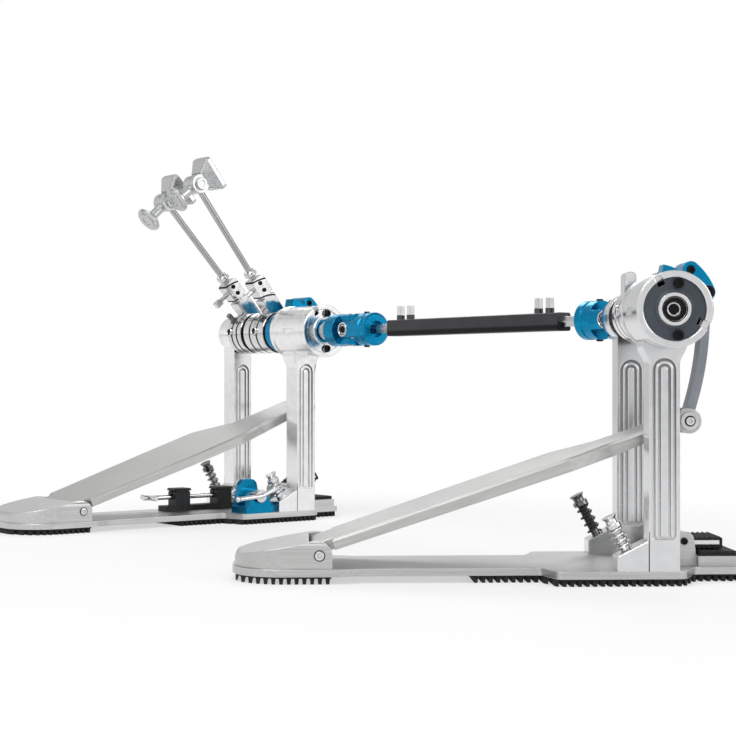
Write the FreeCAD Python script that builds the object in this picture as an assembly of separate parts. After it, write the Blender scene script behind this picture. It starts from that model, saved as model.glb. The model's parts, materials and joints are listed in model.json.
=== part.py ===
import FreeCAD, Part
import math
import os

# A double bass drum pedal in millimetres: two pedals on their own base plates, joined by a drive shaft.
# Each pedal is drawn with x from heel to toe, y to the player's left and z up from the floor, with the
# axle above the origin. The primary pedal keeps this frame and the secondary pedal is set beside it.

Vec = FreeCAD.Vector
FULL_TURN = 360.0
UP = Vec(0, 0, 1)
ACROSS = Vec(0, 1, 0)
AHEAD = Vec(1, 0, 0)

# Fits
fixed_gap = 0.02
running_gap = 0.05
moving_gap = 0.4
side_gap = 0.5
overrun = 2.0
full_round_share = 0.98
samples_per_quarter = 4
hex_sides = 6

# Stance of the secondary pedal beside the primary one
secondary_x = -64.0
secondary_y = -556.5
secondary_yaw = -35.5

# Base plate and rubber
heel_reach = 285.0
front_reach = 59.0
rubber_height = 5.0
rib_height = 3.8
rib_pitch = 5.0
rib_land_share = 0.62
rib_foot_share = 0.42
rubber_inset = 2.0
plate_thickness = 5.0
heel_half_width = 44.5
neck_half_width = 40.0
flare_half_width = 64.0
front_half_width = 38.0
nose_flat = 8.5
neck_past_hinge = 14.0
neck_run = 12.0
flare_from = -78.0
flare_to = -70.0
shoulder_x = 14.0
front_neck_x = 26.0
neck_blend = 12.0
flare_blend = 4.0
shoulder_blend = 8.0
front_corner = 6.0
toe_pad_start = -124.0
heel_pad_past_hinge = 8.0

# Heel block and hinge
heel_length = 59.0
hinge_height = 19.0
hinge_pin_radius = 3.2
hinge_ear_radius = 8.5
hinge_ear_width = 12.0
heel_lip = 8.5
heel_crown = 28.0
heel_crown_back = 4.0
crown_round_share = 0.4
heel_edge_round = 4.0
heel_inset = 1.5
knuckle_side_gap = 0.5

# Footboard, drawn along its own slope from the hinge
board_top = 7.6
board_skin = 4.6
board_lip = 4.0
board_heel_depth = 7.6
board_toe_depth = 9.4
board_shoulder = 11.0
board_heel_half = 40.5
board_wide_half = 44.0
board_wide_share = 0.454
board_waist_from_share = 0.67
board_waist_to_share = 0.79
board_toe_right = 35.5
board_toe_left = 14.0
board_blend = 14.0
board_bevel = 1.6
pocket_end_share = 0.84
toe_rise = 4.0
toe_x = 23.0
toe_z = 108.0
toe_ear_radius = 8.5
toe_slot_reach = 13.0

# Posts
post_half_width = 10.2
post_outer_y = 64.0
post_thickness = 18.0
post_edge_round = 2.0
saddle_half_width = 15.0
saddle_flare = 9.0
saddle_rise = 9.0
boss_radius = 17.0
groove_depth = 2.0
groove_width = 1.8
groove_bottom = 31.0
groove_top_drop = 31.0
groove_half_widths = (7.8, 4.2)
post_screw_radius = 2.5
post_screw_head = 4.6
post_screw_head_height = 3.0
post_screw_length = 20.0

# Spur screws and the sloped feet that hold them
spur_tilt = 27.0
spur_foot_x = -13.0
spur_foot_z = 2.0
spur_radius = 3.0
spur_tip = 5.0
spur_head_radius = 5.5
spur_head_length = 8.0
spur_head_waist = 3.9
spur_head_step = 2.7
spur_block_back = 31.0
spur_block_rise = 24.0
right_spur_length = 41.0
left_spur_length = 44.0
left_spur_raise = 4.0
spur_spring_wire = 0.9
spur_spring_radius = 4.4
spur_spring_turns = 4
spring_seat_gap = 0.1

# Axle, bearings and spring housing, given along the axle
axle_height = 181.0
axle_radius = 7.5
through_radius = 5.0
axle_right_end = -93.0
axle_left_end = 17.0
arbor_radius = 12.0
arbor_right = -85.0
arbor_left = -47.0
housing_right = -95.0
housing_left = -37.0
housing_radius = 24.0
housing_rim_radius = 24.8
housing_rim_width = 6.0
housing_band_width = 5.0
housing_bore = 19.5
housing_wall = 8.0
plate_seat_radius = 20.4
plate_seat_depth = 8.0
housing_slot_length = 18.0
housing_slot_width = 5.0
housing_slot_depth = 2.0
tension_plate_recess = 0.8
tension_plate_step = 1.2
tension_ring_width = 1.6
notch_size = 5.0
notch_depth = 3.6
notch_rim_depth = 5.0
notch_angles = (118.0, -26.0)
plate_screw_radius = 1.8
plate_screw_head = 2.9
plate_screw_head_height = 1.6
plate_screw_reach = 16.8
plate_screw_angles = (81.0, -82.0)
bearing_width = 6.0
housing_bearing_radius = 10.8
post_bearing_radius = 11.0
bearing_groove = 0.8
bearing_race_share = 0.33
torsion_wire = 1.6
torsion_turns = 4
end_recess_radius = 6.4
end_recess_depth = 3.0
socket_flats = 6.0
socket_depth = 6.0

# Drive cam, link and their pins
cam_right = -35.5
cam_cheek = 5.2
cam_hub_left = -22.0
cam_hub_radius = 19.0
cam_pivot_reach = 37.9
cam_band_half = 5.8
cam_pivot_angle = 21.5
cam_bridge_angle = 43.0
cam_screw_angle = 50.0
cam_screw_radius = 3.0
cam_tail_angle = 80.0
cam_tail_radius = 33.0
link_width = 14.0
link_thickness = 6.0
link_bow = 4.5
link_eye_radius = 5.8
link_pin_radius = 3.0
link_pin_head = 4.6
link_pin_head_height = 2.6
toe_pin_head = 6.2
toe_slot_travel = 1.6
toe_pin_gap = 0.9
pin_socket_radius = 1.8
pin_socket_depth = 1.6

# Beater hubs, rods and heads
right_lean = 37.0
left_lean = 42.5
beater_offset = 15.0
hub_radius = 20.0
hub_groove = 1.6
hub_groove_width = 2.2
hub_land_count = 3
right_hub_from = -20.0
right_hub_to = 16.0
left_hub_from = 19.0
left_hub_to = 44.0
right_beater_y = -5.0
left_beater_y = 36.0
tower_half_width = 6.5
tower_root = 8.0
tower_top = 55.0
tower_neck = 33.0
tower_back = 8.0
tower_front = 8.0
tower_gap = 3.0
cradle_root = 12.0
cradle_top = 29.0
cradle_half_width = 7.0
cradle_prong = 8.0
cradle_back = -16.0
cradle_front = 13.0
rod_radius = 3.0
rod_bottom = 24.0
right_beater_reach = 164.0
left_beater_reach = 157.0
rod_top_past_head = 9.0
key_screw_radius = 2.2
key_screw_reach = 17.0
key_head_half = 2.8
key_head_length = 7.0
head_hub_radius = 9.0
head_hub_half_width = 9.0
head_boss_radius = 6.0
head_boss_reach = 2.0
head_front_root = 6.0
head_front_root_half = 9.0
head_front_face_half = 17.0
head_front_length = 17.0
head_front_pad = 4.0
head_front_half_width = 13.0
head_corner = 3.0
head_disc_radius = 12.5
head_disc_thickness = 5.0
head_disc_edge = 1.7
head_disc_reach = 24.0
head_stem_radius = 4.5

# Drum clamp
jaw_pivot_x = 22.0
jaw_pivot_z = 26.0
jaw_pin_radius = 2.6
jaw_eye_radius = 6.2
jaw_half_width = 18.0
jaw_length = 26.0
jaw_arm_height = 3.0
jaw_lug_width = 6.5
jaw_lug_foot = 9.0
clamp_block_from = 30.0
clamp_block_top = 16.5
clamp_block_half = 32.0
clamp_pad_height = 3.0
clamp_pad_half = 28.0
clamp_pad_from = 32.0
clamp_pad_to = 57.0
jaw_pad_from = 7.0
jaw_pad_past = 2.0
jaw_pad_top = 2.4
jaw_pad_drop = 6.2
jaw_pad_teeth = 6
jaw_tooth_height = 1.2
primary_jaw_open = 34.0
secondary_jaw_open = 0.0

# Clamp bracket and lever of the primary pedal
bracket_x = -51.0
bracket_half_length = 15.0
bracket_right = -61.0
bracket_left = -35.0
bracket_floor = 6.0
bracket_cheek = 7.0
bracket_height = 20.0
bracket_back_height = 31.0
bracket_notch = 7.5
bracket_round_share = 0.9
bracket_hole_radius = 2.2
bracket_hole_spread = 11.0
lever_pin_radius = 3.0
lever_drop = 4.0
lever_hub_radius = 6.0
lever_reach = 26.0
lever_rise = 6.0
lever_dip = 2.0
lever_thickness = 4.5
lever_tip_radius = 5.5
lever_tail = 15.0

# Key holder and key
holder_y = 15.0
holder_back = -112.0
holder_front = -30.0
holder_half_width = 7.0
holder_floor = 5.0
holder_clip_at = (-93.0, -46.0)
holder_clip_half = 8.0
holder_clip_foot = 12.0
holder_height = 19.0
key_height = 13.0
key_radius = 2.4
key_back = -132.0
key_front = -30.0
key_grip_half = 13.0
key_grip_from = -126.0
key_socket_radius = 5.0
key_socket_length = 15.0
key_socket_bore = 3.2
key_socket_depth = 9.0

# Drive shaft and its universal joints
primary_pivot_y = -141.0
secondary_pivot_y = 98.0
yoke_radius = 15.0
yoke_floor = 15.5
yoke_mouth_radius = 12.5
yoke_groove = 1.0
yoke_recess_radius = 7.5
yoke_recess_depth = 5.0
axle_yoke_length = 31.0
shaft_yoke_body = 23.0
shaft_yoke_length = 33.0
yoke_chamfer = 1.5
ear_half_width = 7.2
ear_inner = 8.0
ear_outer = 14.6
cross_half = 6.4
cross_ball_radius = 8.6
cross_pin_radius = 4.4
cross_pin_reach = 14.4
cross_recess_radius = 2.2
cross_recess_depth = 1.5
open_pivot_gap = 0.8
rod_flats = 8.0
rod_into_yoke = 17.0
primary_rod_length = 118.0
secondary_rod_length = 130.0
sleeve_near_gap = 58.0
sleeve_far_gap = 58.2
sleeve_half = 7.2
sleeve_edge = 2.0
sleeve_near_screws = (11.0, 25.0)
sleeve_far_screws = (29.0, 16.0)
sleeve_screw_radius = 2.4
sleeve_collar_radius = 3.6
sleeve_collar_height = 4.0
sleeve_key_height = 8.0
sleeve_key_half = 2.3
shaft_collar_radius = 9.0
shaft_collar_right = -106.0
shaft_collar_left = -96.0
end_cap_radius = 11.0
end_cap_from = 65.0
end_cap_to = 74.0

# Worked-out levels and places
plate_top = rubber_height + plate_thickness
post_inner_y = post_outer_y - post_thickness
post_middle_y = post_outer_y - post_thickness / 2
clamp_pad_top = clamp_block_top + clamp_pad_height
nose_radius = heel_half_width - nose_flat
hinge_reach = heel_reach - heel_length
neck_from = neck_past_hinge - hinge_reach
neck_to = neck_from + neck_run
heel_pad_end = heel_pad_past_hinge - hinge_reach
hinge_at = Vec(-hinge_reach, 0, hinge_height)
toe_at = Vec(toe_x, 0, toe_z)
axle_at = Vec(0, 0, axle_height)
jaw_at = Vec(jaw_pivot_x, 0, jaw_pivot_z)
board_length = math.sqrt((toe_at - hinge_at).Length ** 2 - toe_rise ** 2)
toe_slope = math.atan2(toe_z - hinge_height, toe_x + hinge_reach)
board_tilt = math.degrees(toe_slope - math.atan2(toe_rise, board_length))
knuckle_half = heel_half_width - hinge_ear_width - knuckle_side_gap
cam_left = cam_right + 2 * cam_cheek + link_width + 2 * side_gap
link_right = cam_right + cam_cheek + side_gap
link_left = link_right + link_width


def heading(angle):
    """Direction in the xz plane at an angle up from the toe direction."""
    return Vec(math.cos(math.radians(angle)), 0, math.sin(math.radians(angle)))


link_top_at = axle_at + heading(cam_pivot_angle) * cam_pivot_reach
cam_screw_at = axle_at + heading(cam_screw_angle) * cam_pivot_reach
spur_up = Vec(-math.sin(math.radians(spur_tilt)), 0, math.cos(math.radians(spur_tilt)))


def rounded_face(corners):
    """Flat face from (u, v, corner radius) points, listed in order round the outline."""
    count = len(corners)
    runs = []
    for i, (u, v, radius) in enumerate(corners):
        here = Vec(u, v, 0)
        back = Vec(corners[i - 1][0], corners[i - 1][1], 0) - here
        ahead = Vec(corners[(i + 1) % count][0], corners[(i + 1) % count][1], 0) - here
        back.normalize()
        ahead.normalize()
        half = back.getAngle(ahead) / 2
        run = radius / math.tan(half)
        inward = back + ahead
        if radius > 0:
            inward.normalize()
        middle = here + inward * (radius / math.sin(half) - radius)
        runs.append((here + back * run, middle, here + ahead * run, radius))
    edges = []
    for i, (start, middle, stop, radius) in enumerate(runs):
        if radius > 0:
            edges.append(Part.Arc(start, middle, stop).toShape())
        following = runs[(i + 1) % count][0]
        if stop.distanceToPoint(following) > fixed_gap:
            edges.append(Part.makeLine(stop, following))
    return Part.Face(Part.Wire(edges))


def flat_prism(corners, low, high):
    """Plan outline of (x, y, radius) raised between two heights."""
    face = rounded_face(corners)
    face.translate(Vec(0, 0, low))
    return face.extrude(Vec(0, 0, high - low))


def side_prism(corners, right, left):
    """Side outline of (x, z, radius) run across between two y values."""
    face = rounded_face(corners)
    face.rotate(Vec(0, 0, 0), AHEAD, FULL_TURN / 4)
    face.translate(Vec(0, right, 0))
    return face.extrude(Vec(0, left - right, 0))


def end_prism(corners, back, front):
    """End outline of (y, z, radius) run lengthwise between two x values."""
    face = rounded_face(corners)
    face.rotate(Vec(0, 0, 0), Vec(1, 1, 1), FULL_TURN / 3)
    face.translate(Vec(back, 0, 0))
    return face.extrude(Vec(front - back, 0, 0))


def both_sides(half):
    """Closed outline from the points of its left half."""
    return half + [(u, -v, radius) for u, v, radius in reversed(half)]


def block(back, front, right, left, low, high):
    return Part.makeBox(front - back, left - right, high - low, Vec(back, right, low))


def rod_between(start, stop, radius):
    return Part.makeCylinder(radius, (stop - start).Length, start, stop - start)


def cross_rod(centre, right, left, radius):
    """Round bar across the pedal, through a centre in the xz plane."""
    return Part.makeCylinder(radius, left - right, Vec(centre.x, right, centre.z), ACROSS)


def turned(profile, origin, axis):
    """Solid of revolution from (along, radius) points, set on an axis."""
    points = [Vec(radius, 0, along) for along, radius in profile]
    face = Part.Face(Part.makePolygon(points + points[:1]))
    solid = face.revolve(Vec(0, 0, 0), UP, FULL_TURN)
    solid.Placement = FreeCAD.Placement(origin, FreeCAD.Rotation(UP, axis))
    return solid


def hexagon(flats, low, high):
    """Upright hexagonal bar about the z axis."""
    radius = flats / 2 / math.cos(math.pi / hex_sides)
    turns = [math.radians(FULL_TURN * i / hex_sides) for i in range(hex_sides)]
    corners = [Vec(radius * math.cos(turn), radius * math.sin(turn), low) for turn in turns]
    return Part.Face(Part.makePolygon(corners + corners[:1])).extrude(Vec(0, 0, high - low))


def joined(first, *others):
    return first.multiFuse(list(others)).removeSplitter()


def leaned(shape, lean):
    """Turn a beater piece from upright to its resting lean."""
    return shape.rotated(axle_at, ACROSS, -lean)


def coil(radius, wire, turns, height):
    """Spring along z from the origin, as one unbroken tube swept round quarter-turn arcs."""
    quarter_count = 4 * turns
    step = height / quarter_count

    def point(quarter):
        turn = math.radians(FULL_TURN * quarter / 4)
        return Vec(radius * math.cos(turn), radius * math.sin(turn), step * quarter)

    arcs = []
    for i in range(quarter_count):
        arcs.append(Part.Arc(point(i), point(i + 1 / 2), point(i + 1)).toShape())
    path = Part.Wire(arcs)
    start = arcs[0].tangentAt(arcs[0].FirstParameter)
    section = Part.Wire(Part.Circle(point(0), start, wire).toShape())
    samples = [point(i / samples_per_quarter) for i in range(quarter_count * samples_per_quarter + 1)]
    apart = 2 * samples_per_quarter
    gaps = [first.distanceToPoint(other) for i, first in enumerate(samples) for other in samples[i + apart:]]
    print("least gap of a spring to itself", round(min(gaps) - 2 * wire, 2))
    return path.makePipeShell([section], True, False)


def ribbed_slab(back, front, low, high, half_width):
    """Rubber slab with cross ribs on its underside."""
    count = int((front - back) / rib_pitch)
    pitch = (front - back) / count
    land = pitch * rib_land_share / 2
    foot = pitch * rib_foot_share / 2
    root = low + rib_height
    corners = [(back, high, 0), (back, root, 0)]
    for i in range(count):
        middle = back + pitch * (i + 1 / 2)
        corners += [(middle - land, root, 0), (middle - foot, low, 0), (middle + foot, low, 0),
                    (middle + land, root, 0)]
    corners += [(front, root, 0), (front, high, 0)]
    return side_prism(corners, -half_width, half_width)


def plate_outline(inset):
    half = [
        (-heel_reach + inset, heel_half_width - inset, nose_radius - inset),
        (neck_from, heel_half_width - inset, neck_blend),
        (neck_to, neck_half_width - inset, neck_blend),
        (flare_from, neck_half_width - inset, flare_blend),
        (flare_to, flare_half_width - inset, flare_blend),
        (shoulder_x, flare_half_width - inset, shoulder_blend),
        (front_neck_x, front_half_width - inset, shoulder_blend),
        (front_reach - inset, front_half_width - inset, front_corner - inset),
    ]
    return both_sides(half)


def spur_line(side, from_foot):
    """Point on a spur's axis, at a distance up from its foot."""
    foot = Vec(spur_foot_x, side * post_middle_y, spur_foot_z)
    return foot + spur_up * from_foot


def spur_hole(side):
    reach = right_spur_length
    return rod_between(spur_line(side, -reach), spur_line(side, reach), spur_radius + moving_gap)


def jaw_lug(right):
    corners = [
        (jaw_pivot_x - jaw_lug_foot, plate_top, 0),
        (jaw_pivot_x + jaw_lug_foot, plate_top, 0),
        (jaw_pivot_x + jaw_eye_radius, jaw_pivot_z + jaw_eye_radius, jaw_eye_radius * full_round_share),
        (jaw_pivot_x - jaw_eye_radius, jaw_pivot_z + jaw_eye_radius, jaw_eye_radius * full_round_share),
    ]
    return side_prism(corners, right, right + jaw_lug_width)


def base_plate():
    plate = flat_prism(plate_outline(0), rubber_height, plate_top)
    step = block(clamp_block_from, front_reach - rubber_inset, -clamp_block_half, clamp_block_half,
                 plate_top, clamp_block_top)
    lug_y = jaw_half_width + side_gap
    plate = joined(plate, step, jaw_lug(lug_y), jaw_lug(-lug_y - jaw_lug_width))
    cuts = [spur_hole(1), spur_hole(-1)]
    cuts.append(cross_rod(jaw_at, -clamp_block_half, clamp_block_half, jaw_pin_radius + fixed_gap))
    for spread in (-bracket_hole_spread, bracket_hole_spread):
        at = Vec(bracket_x + spread, (bracket_right + bracket_left) / 2, rubber_height - overrun)
        cuts.append(Part.makeCylinder(bracket_hole_radius, plate_thickness + 2 * overrun, at))
    for side in (1, -1):
        at = Vec(0, side * post_middle_y, rubber_height)
        cuts.append(post_screw(at, fixed_gap))
    return plate.cut(cuts)


def post_screw(at, gap):
    """Countersunk screw from below the plate up into a post."""
    profile = [
        (-gap, 0), (-gap, post_screw_head + gap), (post_screw_head_height, post_screw_radius + gap),
        (post_screw_length + gap, post_screw_radius + gap), (post_screw_length + gap, 0),
    ]
    return turned(profile, at, UP)


def rubber_pads():
    outline = flat_prism(plate_outline(rubber_inset), -overrun, rubber_height)
    heel = ribbed_slab(-heel_reach, heel_pad_end, 0, rubber_height, heel_half_width)
    toe = ribbed_slab(toe_pad_start, front_reach, 0, rubber_height, flare_half_width)
    heel = heel.common(outline)
    toe = toe.common(outline).cut([spur_hole(1), spur_hole(-1)])
    grip = block(clamp_pad_from, clamp_pad_to, -clamp_pad_half, clamp_pad_half,
                 clamp_block_top, clamp_pad_top)
    return Part.Compound([heel, toe, grip])


def heel_block():
    crown_x = -hinge_reach - heel_crown_back
    ear_front = -hinge_reach + hinge_ear_radius
    ear_top = hinge_height + hinge_ear_radius
    side = side_prism([
        (-heel_reach + heel_inset, plate_top, 0),
        (ear_front, plate_top, 0),
        (ear_front, ear_top, hinge_ear_radius * full_round_share),
        (crown_x, heel_crown, heel_crown_back * crown_round_share),
        (-heel_reach + heel_inset, plate_top + heel_lip, heel_edge_round),
    ], -heel_half_width, heel_half_width)
    plan = flat_prism(both_sides([
        (-heel_reach + heel_inset, heel_half_width - heel_inset, nose_radius),
        (ear_front + overrun, heel_half_width - heel_inset, 0),
    ]), 0, axle_height)
    end_half = heel_half_width - heel_inset
    end = end_prism([
        (end_half, 0, 0), (end_half, heel_crown, heel_edge_round),
        (-end_half, heel_crown, heel_edge_round), (-end_half, 0, 0),
    ], -heel_reach, 0)
    body = side.common(plan).common(end)
    inner = heel_half_width - hinge_ear_width
    knuckle_room = cross_rod(hinge_at, -inner, inner, board_shoulder)
    front_room = block(-hinge_reach, 0, -inner, inner, plate_top - overrun, axle_height)
    pin_hole = cross_rod(hinge_at, -heel_half_width, heel_half_width, hinge_pin_radius + fixed_gap)
    return body.cut([knuckle_room, front_room, pin_hole])


def board_plan(inset, start, stop):
    """Footboard outline, drawn in at the toe more on the left than on the link's side."""
    sides = []
    for side, toe_half in ((-1, board_toe_right), (1, board_toe_left)):
        sides.append([
            (start, side * (board_heel_half - inset), 0),
            (board_length * board_wide_share, side * (board_wide_half - inset), board_blend),
            (board_length * board_waist_from_share, side * (board_wide_half - inset), board_blend),
            (board_length * board_waist_to_share, side * (toe_half - inset), board_blend),
            (stop, side * (toe_half - inset), 0),
        ])
    return sides[0] + sides[1][::-1]


def board_frame(point):
    """A pedal point seen along and across the footboard's own slope."""
    turn = FreeCAD.Rotation(ACROSS, board_tilt)
    return turn.multVec(point - hinge_at)


def footboard():
    toe = board_frame(toe_at)
    toe_end = toe.x + toe_ear_radius
    low_heel = board_top - board_heel_depth
    low_toe = board_top - board_toe_depth
    side = side_prism([
        (board_shoulder, low_heel, 0),
        (board_length * board_waist_to_share, low_toe, board_blend),
        (toe_end, low_toe + board_lip, board_lip),
        (toe_end, board_top, 0),
        (board_shoulder, board_top, 0),
    ], -board_wide_half, board_wide_half)
    body = side.common(flat_prism(board_plan(0, board_shoulder, toe_end), low_toe, board_top))
    rim = [edge for edge in body.Edges if abs(edge.BoundBox.ZMin - board_top) < fixed_gap]
    body = body.makeChamfer(board_bevel, rim)
    pocket_plan = board_plan(board_lip, board_shoulder + board_lip, board_length * pocket_end_share)
    pocket = flat_prism(pocket_plan, low_toe - overrun, board_top - board_skin)
    knuckle = cross_rod(Vec(0, 0, 0), -knuckle_half, knuckle_half, board_top)
    web = block(0, board_shoulder + board_lip, -knuckle_half, knuckle_half, low_heel, board_top)
    ear = cross_rod(toe, cam_right, cam_left, toe_ear_radius)
    body = joined(body.cut(pocket), knuckle, web, ear)
    link_room = block(toe.x - toe_slot_reach, toe_end + overrun, link_right - side_gap, link_left + side_gap,
                      low_toe - overrun, axle_height)
    slot_half = link_pin_radius + toe_pin_gap
    slot = side_prism([
        (toe.x - slot_half - toe_slot_travel, toe.z - slot_half, slot_half * full_round_share),
        (toe.x + slot_half + toe_slot_travel, toe.z - slot_half, slot_half * full_round_share),
        (toe.x + slot_half + toe_slot_travel, toe.z + slot_half, slot_half * full_round_share),
        (toe.x - slot_half - toe_slot_travel, toe.z + slot_half, slot_half * full_round_share),
    ], cam_right - overrun, cam_left + overrun)
    hinge_hole = cross_rod(Vec(0, 0, 0), -heel_half_width, heel_half_width, hinge_pin_radius + running_gap)
    body = body.cut([link_room, slot, hinge_hole])
    body.rotate(Vec(0, 0, 0), ACROSS, -board_tilt)
    body.translate(hinge_at)
    return body


def arch_groove(half_width, face_y, outward, top):
    """U-shaped groove with a round top, cut into a side face of a post."""
    inner = half_width - groove_width
    right, left = sorted((face_y - outward * groove_depth, face_y + outward * overrun))
    outside = side_prism([
        (-half_width, groove_bottom, groove_width), (half_width, groove_bottom, groove_width),
        (half_width, top, half_width * full_round_share), (-half_width, top, half_width * full_round_share),
    ], right, left)
    inside = side_prism([
        (-inner, groove_bottom + groove_width, 0), (inner, groove_bottom + groove_width, 0),
        (inner, top - groove_width, inner * full_round_share),
        (-inner, top - groove_width, inner * full_round_share),
    ], right - overrun, left + overrun)
    return outside.cut(inside)


def post(side):
    """Post with its sloped spur foot. The right one ends in a saddle, the left one in a bearing boss."""
    right, left = sorted((side * post_inner_y, side * post_outer_y))
    housing_bottom = axle_height - housing_radius
    if side < 0:
        neck = housing_bottom - saddle_flare
        head = housing_bottom + saddle_rise
        column = side_prism([
            (-post_half_width, plate_top, 0), (post_half_width, plate_top, 0),
            (post_half_width, neck, saddle_flare), (saddle_half_width, housing_bottom, saddle_flare),
            (saddle_half_width, head, post_edge_round), (-saddle_half_width, head, post_edge_round),
            (-saddle_half_width, housing_bottom, saddle_flare), (-post_half_width, neck, saddle_flare),
        ], right, left)
        cuts = [cross_rod(axle_at, right - overrun, left + overrun, housing_radius + fixed_gap)]
    else:
        column = block(-post_half_width, post_half_width, right, left, plate_top, axle_height)
        column = joined(column, cross_rod(axle_at, right, left, boss_radius))
        lip = post_bearing_radius - bearing_groove
        seat_right = post_middle_y - bearing_width / 2
        cuts = [cross_rod(axle_at, seat_right, left + overrun, post_bearing_radius + fixed_gap)]
        cuts.append(cross_rod(axle_at, right - overrun, left, lip - bearing_groove))
    seat = spur_line(side, spur_block_rise)
    slope = math.tan(math.radians(spur_tilt))
    back_top = seat.z - (spur_block_back + seat.x) * slope
    front_top = seat.z - (post_half_width + seat.x) * slope
    foot = side_prism([
        (-spur_block_back, plate_top, 0), (0, plate_top, 0), (0, front_top, 0),
        (-post_half_width, front_top, 0), (-spur_block_back, back_top, 0),
    ], right, left)
    cuts.append(spur_hole(side))
    cuts.append(post_screw(Vec(0, side * post_middle_y, rubber_height), fixed_gap))
    top = axle_height - groove_top_drop
    for i, half_width in enumerate(groove_half_widths):
        arch = top - i * groove_width * 2
        cuts.append(arch_groove(half_width, side * post_outer_y, side, arch))
        cuts.append(arch_groove(half_width, side * post_inner_y, -side, arch))
    return joined(column, foot).cut(cuts)


def spring_housing():
    right = housing_right
    left = housing_left
    seat = right + plate_seat_depth
    wall = left - housing_wall
    bearing_seat = housing_bearing_radius + fixed_gap
    bearing_face = left - bearing_width
    rim = housing_rim_width
    band = housing_band_width
    profile = [
        (right, plate_seat_radius), (right, housing_rim_radius), (right + rim, housing_rim_radius),
        (right + rim + hub_groove, housing_radius), (left - band - hub_groove, housing_radius),
        (left - band, housing_rim_radius), (left - hub_groove, housing_rim_radius),
        (left, housing_radius), (left, bearing_seat), (bearing_face, bearing_seat),
        (bearing_face, axle_radius + overrun), (wall, axle_radius + overrun), (wall, housing_bore),
        (seat, housing_bore), (seat, plate_seat_radius),
    ]
    body = turned(profile, axle_at, ACROSS)
    slot_middle = (right + left) / 2
    slot = block(-housing_radius - overrun, housing_slot_depth - housing_radius,
                 slot_middle - housing_slot_length / 2, slot_middle + housing_slot_length / 2,
                 axle_height - housing_slot_width / 2, axle_height + housing_slot_width / 2)
    return body.cut([slot] + notches(right - overrun, right + notch_rim_depth))


def notches(right, left):
    """Square notches for the tension key, across the plate's edge and the housing's rim."""
    low = axle_height - notch_size / 2
    bars = []
    for angle in notch_angles:
        bar = block(plate_seat_radius - notch_depth, housing_rim_radius + overrun, right, left,
                    low, low + notch_size)
        bars.append(bar.rotated(axle_at, ACROSS, -angle))
    return bars


def plate_screws(gap):
    """Socket screws in the tension plate."""
    face = housing_right + tension_plate_recess
    screws = []
    for angle in plate_screw_angles:
        at = axle_at + heading(angle) * plate_screw_reach
        profile = [
            (-plate_screw_head_height, 0), (-plate_screw_head_height, plate_screw_head + gap),
            (0, plate_screw_head + gap), (0, plate_screw_radius + gap),
            (plate_seat_depth - tension_plate_recess - overrun, plate_screw_radius + gap),
            (plate_seat_depth - tension_plate_recess - overrun, 0),
        ]
        screws.append(turned(profile, Vec(at.x, face + tension_plate_step, at.z), ACROSS))
    return screws


def tension_plate():
    face = housing_right + tension_plate_recess
    back = housing_right + plate_seat_depth
    radius = plate_seat_radius - fixed_gap
    bore = housing_bearing_radius + fixed_gap
    profile = [
        (face, bore), (face, bore + tension_ring_width),
        (face + tension_plate_step, bore + tension_ring_width),
        (face + tension_plate_step, radius), (back, radius), (back, axle_radius + overrun),
        (face + bearing_width, axle_radius + overrun), (face + bearing_width, bore),
    ]
    disc = turned(profile, axle_at, ACROSS)
    return disc.cut(plate_screws(fixed_gap) + notches(face - overrun, back + overrun))


def bearing(right, bore, radius):
    """Ball bearing as one ring with a groove between its races on each face."""
    left = right + bearing_width
    race = (radius - bore) * bearing_race_share
    profile = [
        (right, bore), (right, bore + race), (right + bearing_groove, bore + race),
        (right + bearing_groove, radius - race), (right, radius - race), (right, radius),
        (left, radius), (left, radius - race), (left - bearing_groove, radius - race),
        (left - bearing_groove, bore + race), (left, bore + race), (left, bore),
    ]
    return turned(profile, axle_at, ACROSS)


def bearings():
    outer = bearing(housing_right + tension_plate_recess, axle_radius + running_gap, housing_bearing_radius)
    inner = bearing(housing_left - bearing_width, axle_radius + running_gap, housing_bearing_radius)
    far = bearing(post_middle_y - bearing_width / 2, through_radius + running_gap, post_bearing_radius)
    return Part.Compound([outer, inner, far])


def torsion_spring():
    radius = arbor_radius + moving_gap + torsion_wire
    right = housing_right + plate_seat_depth + torsion_wire + spring_seat_gap
    left = housing_left - housing_wall - torsion_wire - spring_seat_gap
    spring = coil(radius, torsion_wire, torsion_turns, left - right)
    spring.rotate(Vec(0, 0, 0), AHEAD, -FULL_TURN / 4)
    spring.translate(Vec(0, right, axle_height))
    return spring


def fasteners():
    """Heel hinge pin, jaw pin, tension plate screws and post screws."""
    hinge_half = heel_half_width - heel_inset
    hinge = cross_rod(hinge_at, -hinge_half, hinge_half, hinge_pin_radius)
    jaw_pin_half = jaw_half_width + side_gap + jaw_lug_width
    jaw = cross_rod(jaw_at, -jaw_pin_half, jaw_pin_half, jaw_pin_radius)
    posts = [post_screw(Vec(0, side * post_middle_y, rubber_height), 0) for side in (1, -1)]
    return Part.Compound([hinge, jaw] + plate_screws(0) + posts)


def primary_axle():
    """Tube that carries the cam and the right beater round the through shaft."""
    bore = through_radius + running_gap
    profile = [
        (axle_right_end, bore), (axle_right_end, axle_radius), (arbor_right, axle_radius),
        (arbor_right, arbor_radius), (arbor_left, arbor_radius), (arbor_left, axle_radius),
        (axle_left_end, axle_radius), (axle_left_end, bore),
    ]
    return turned(profile, axle_at, ACROSS)


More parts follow.
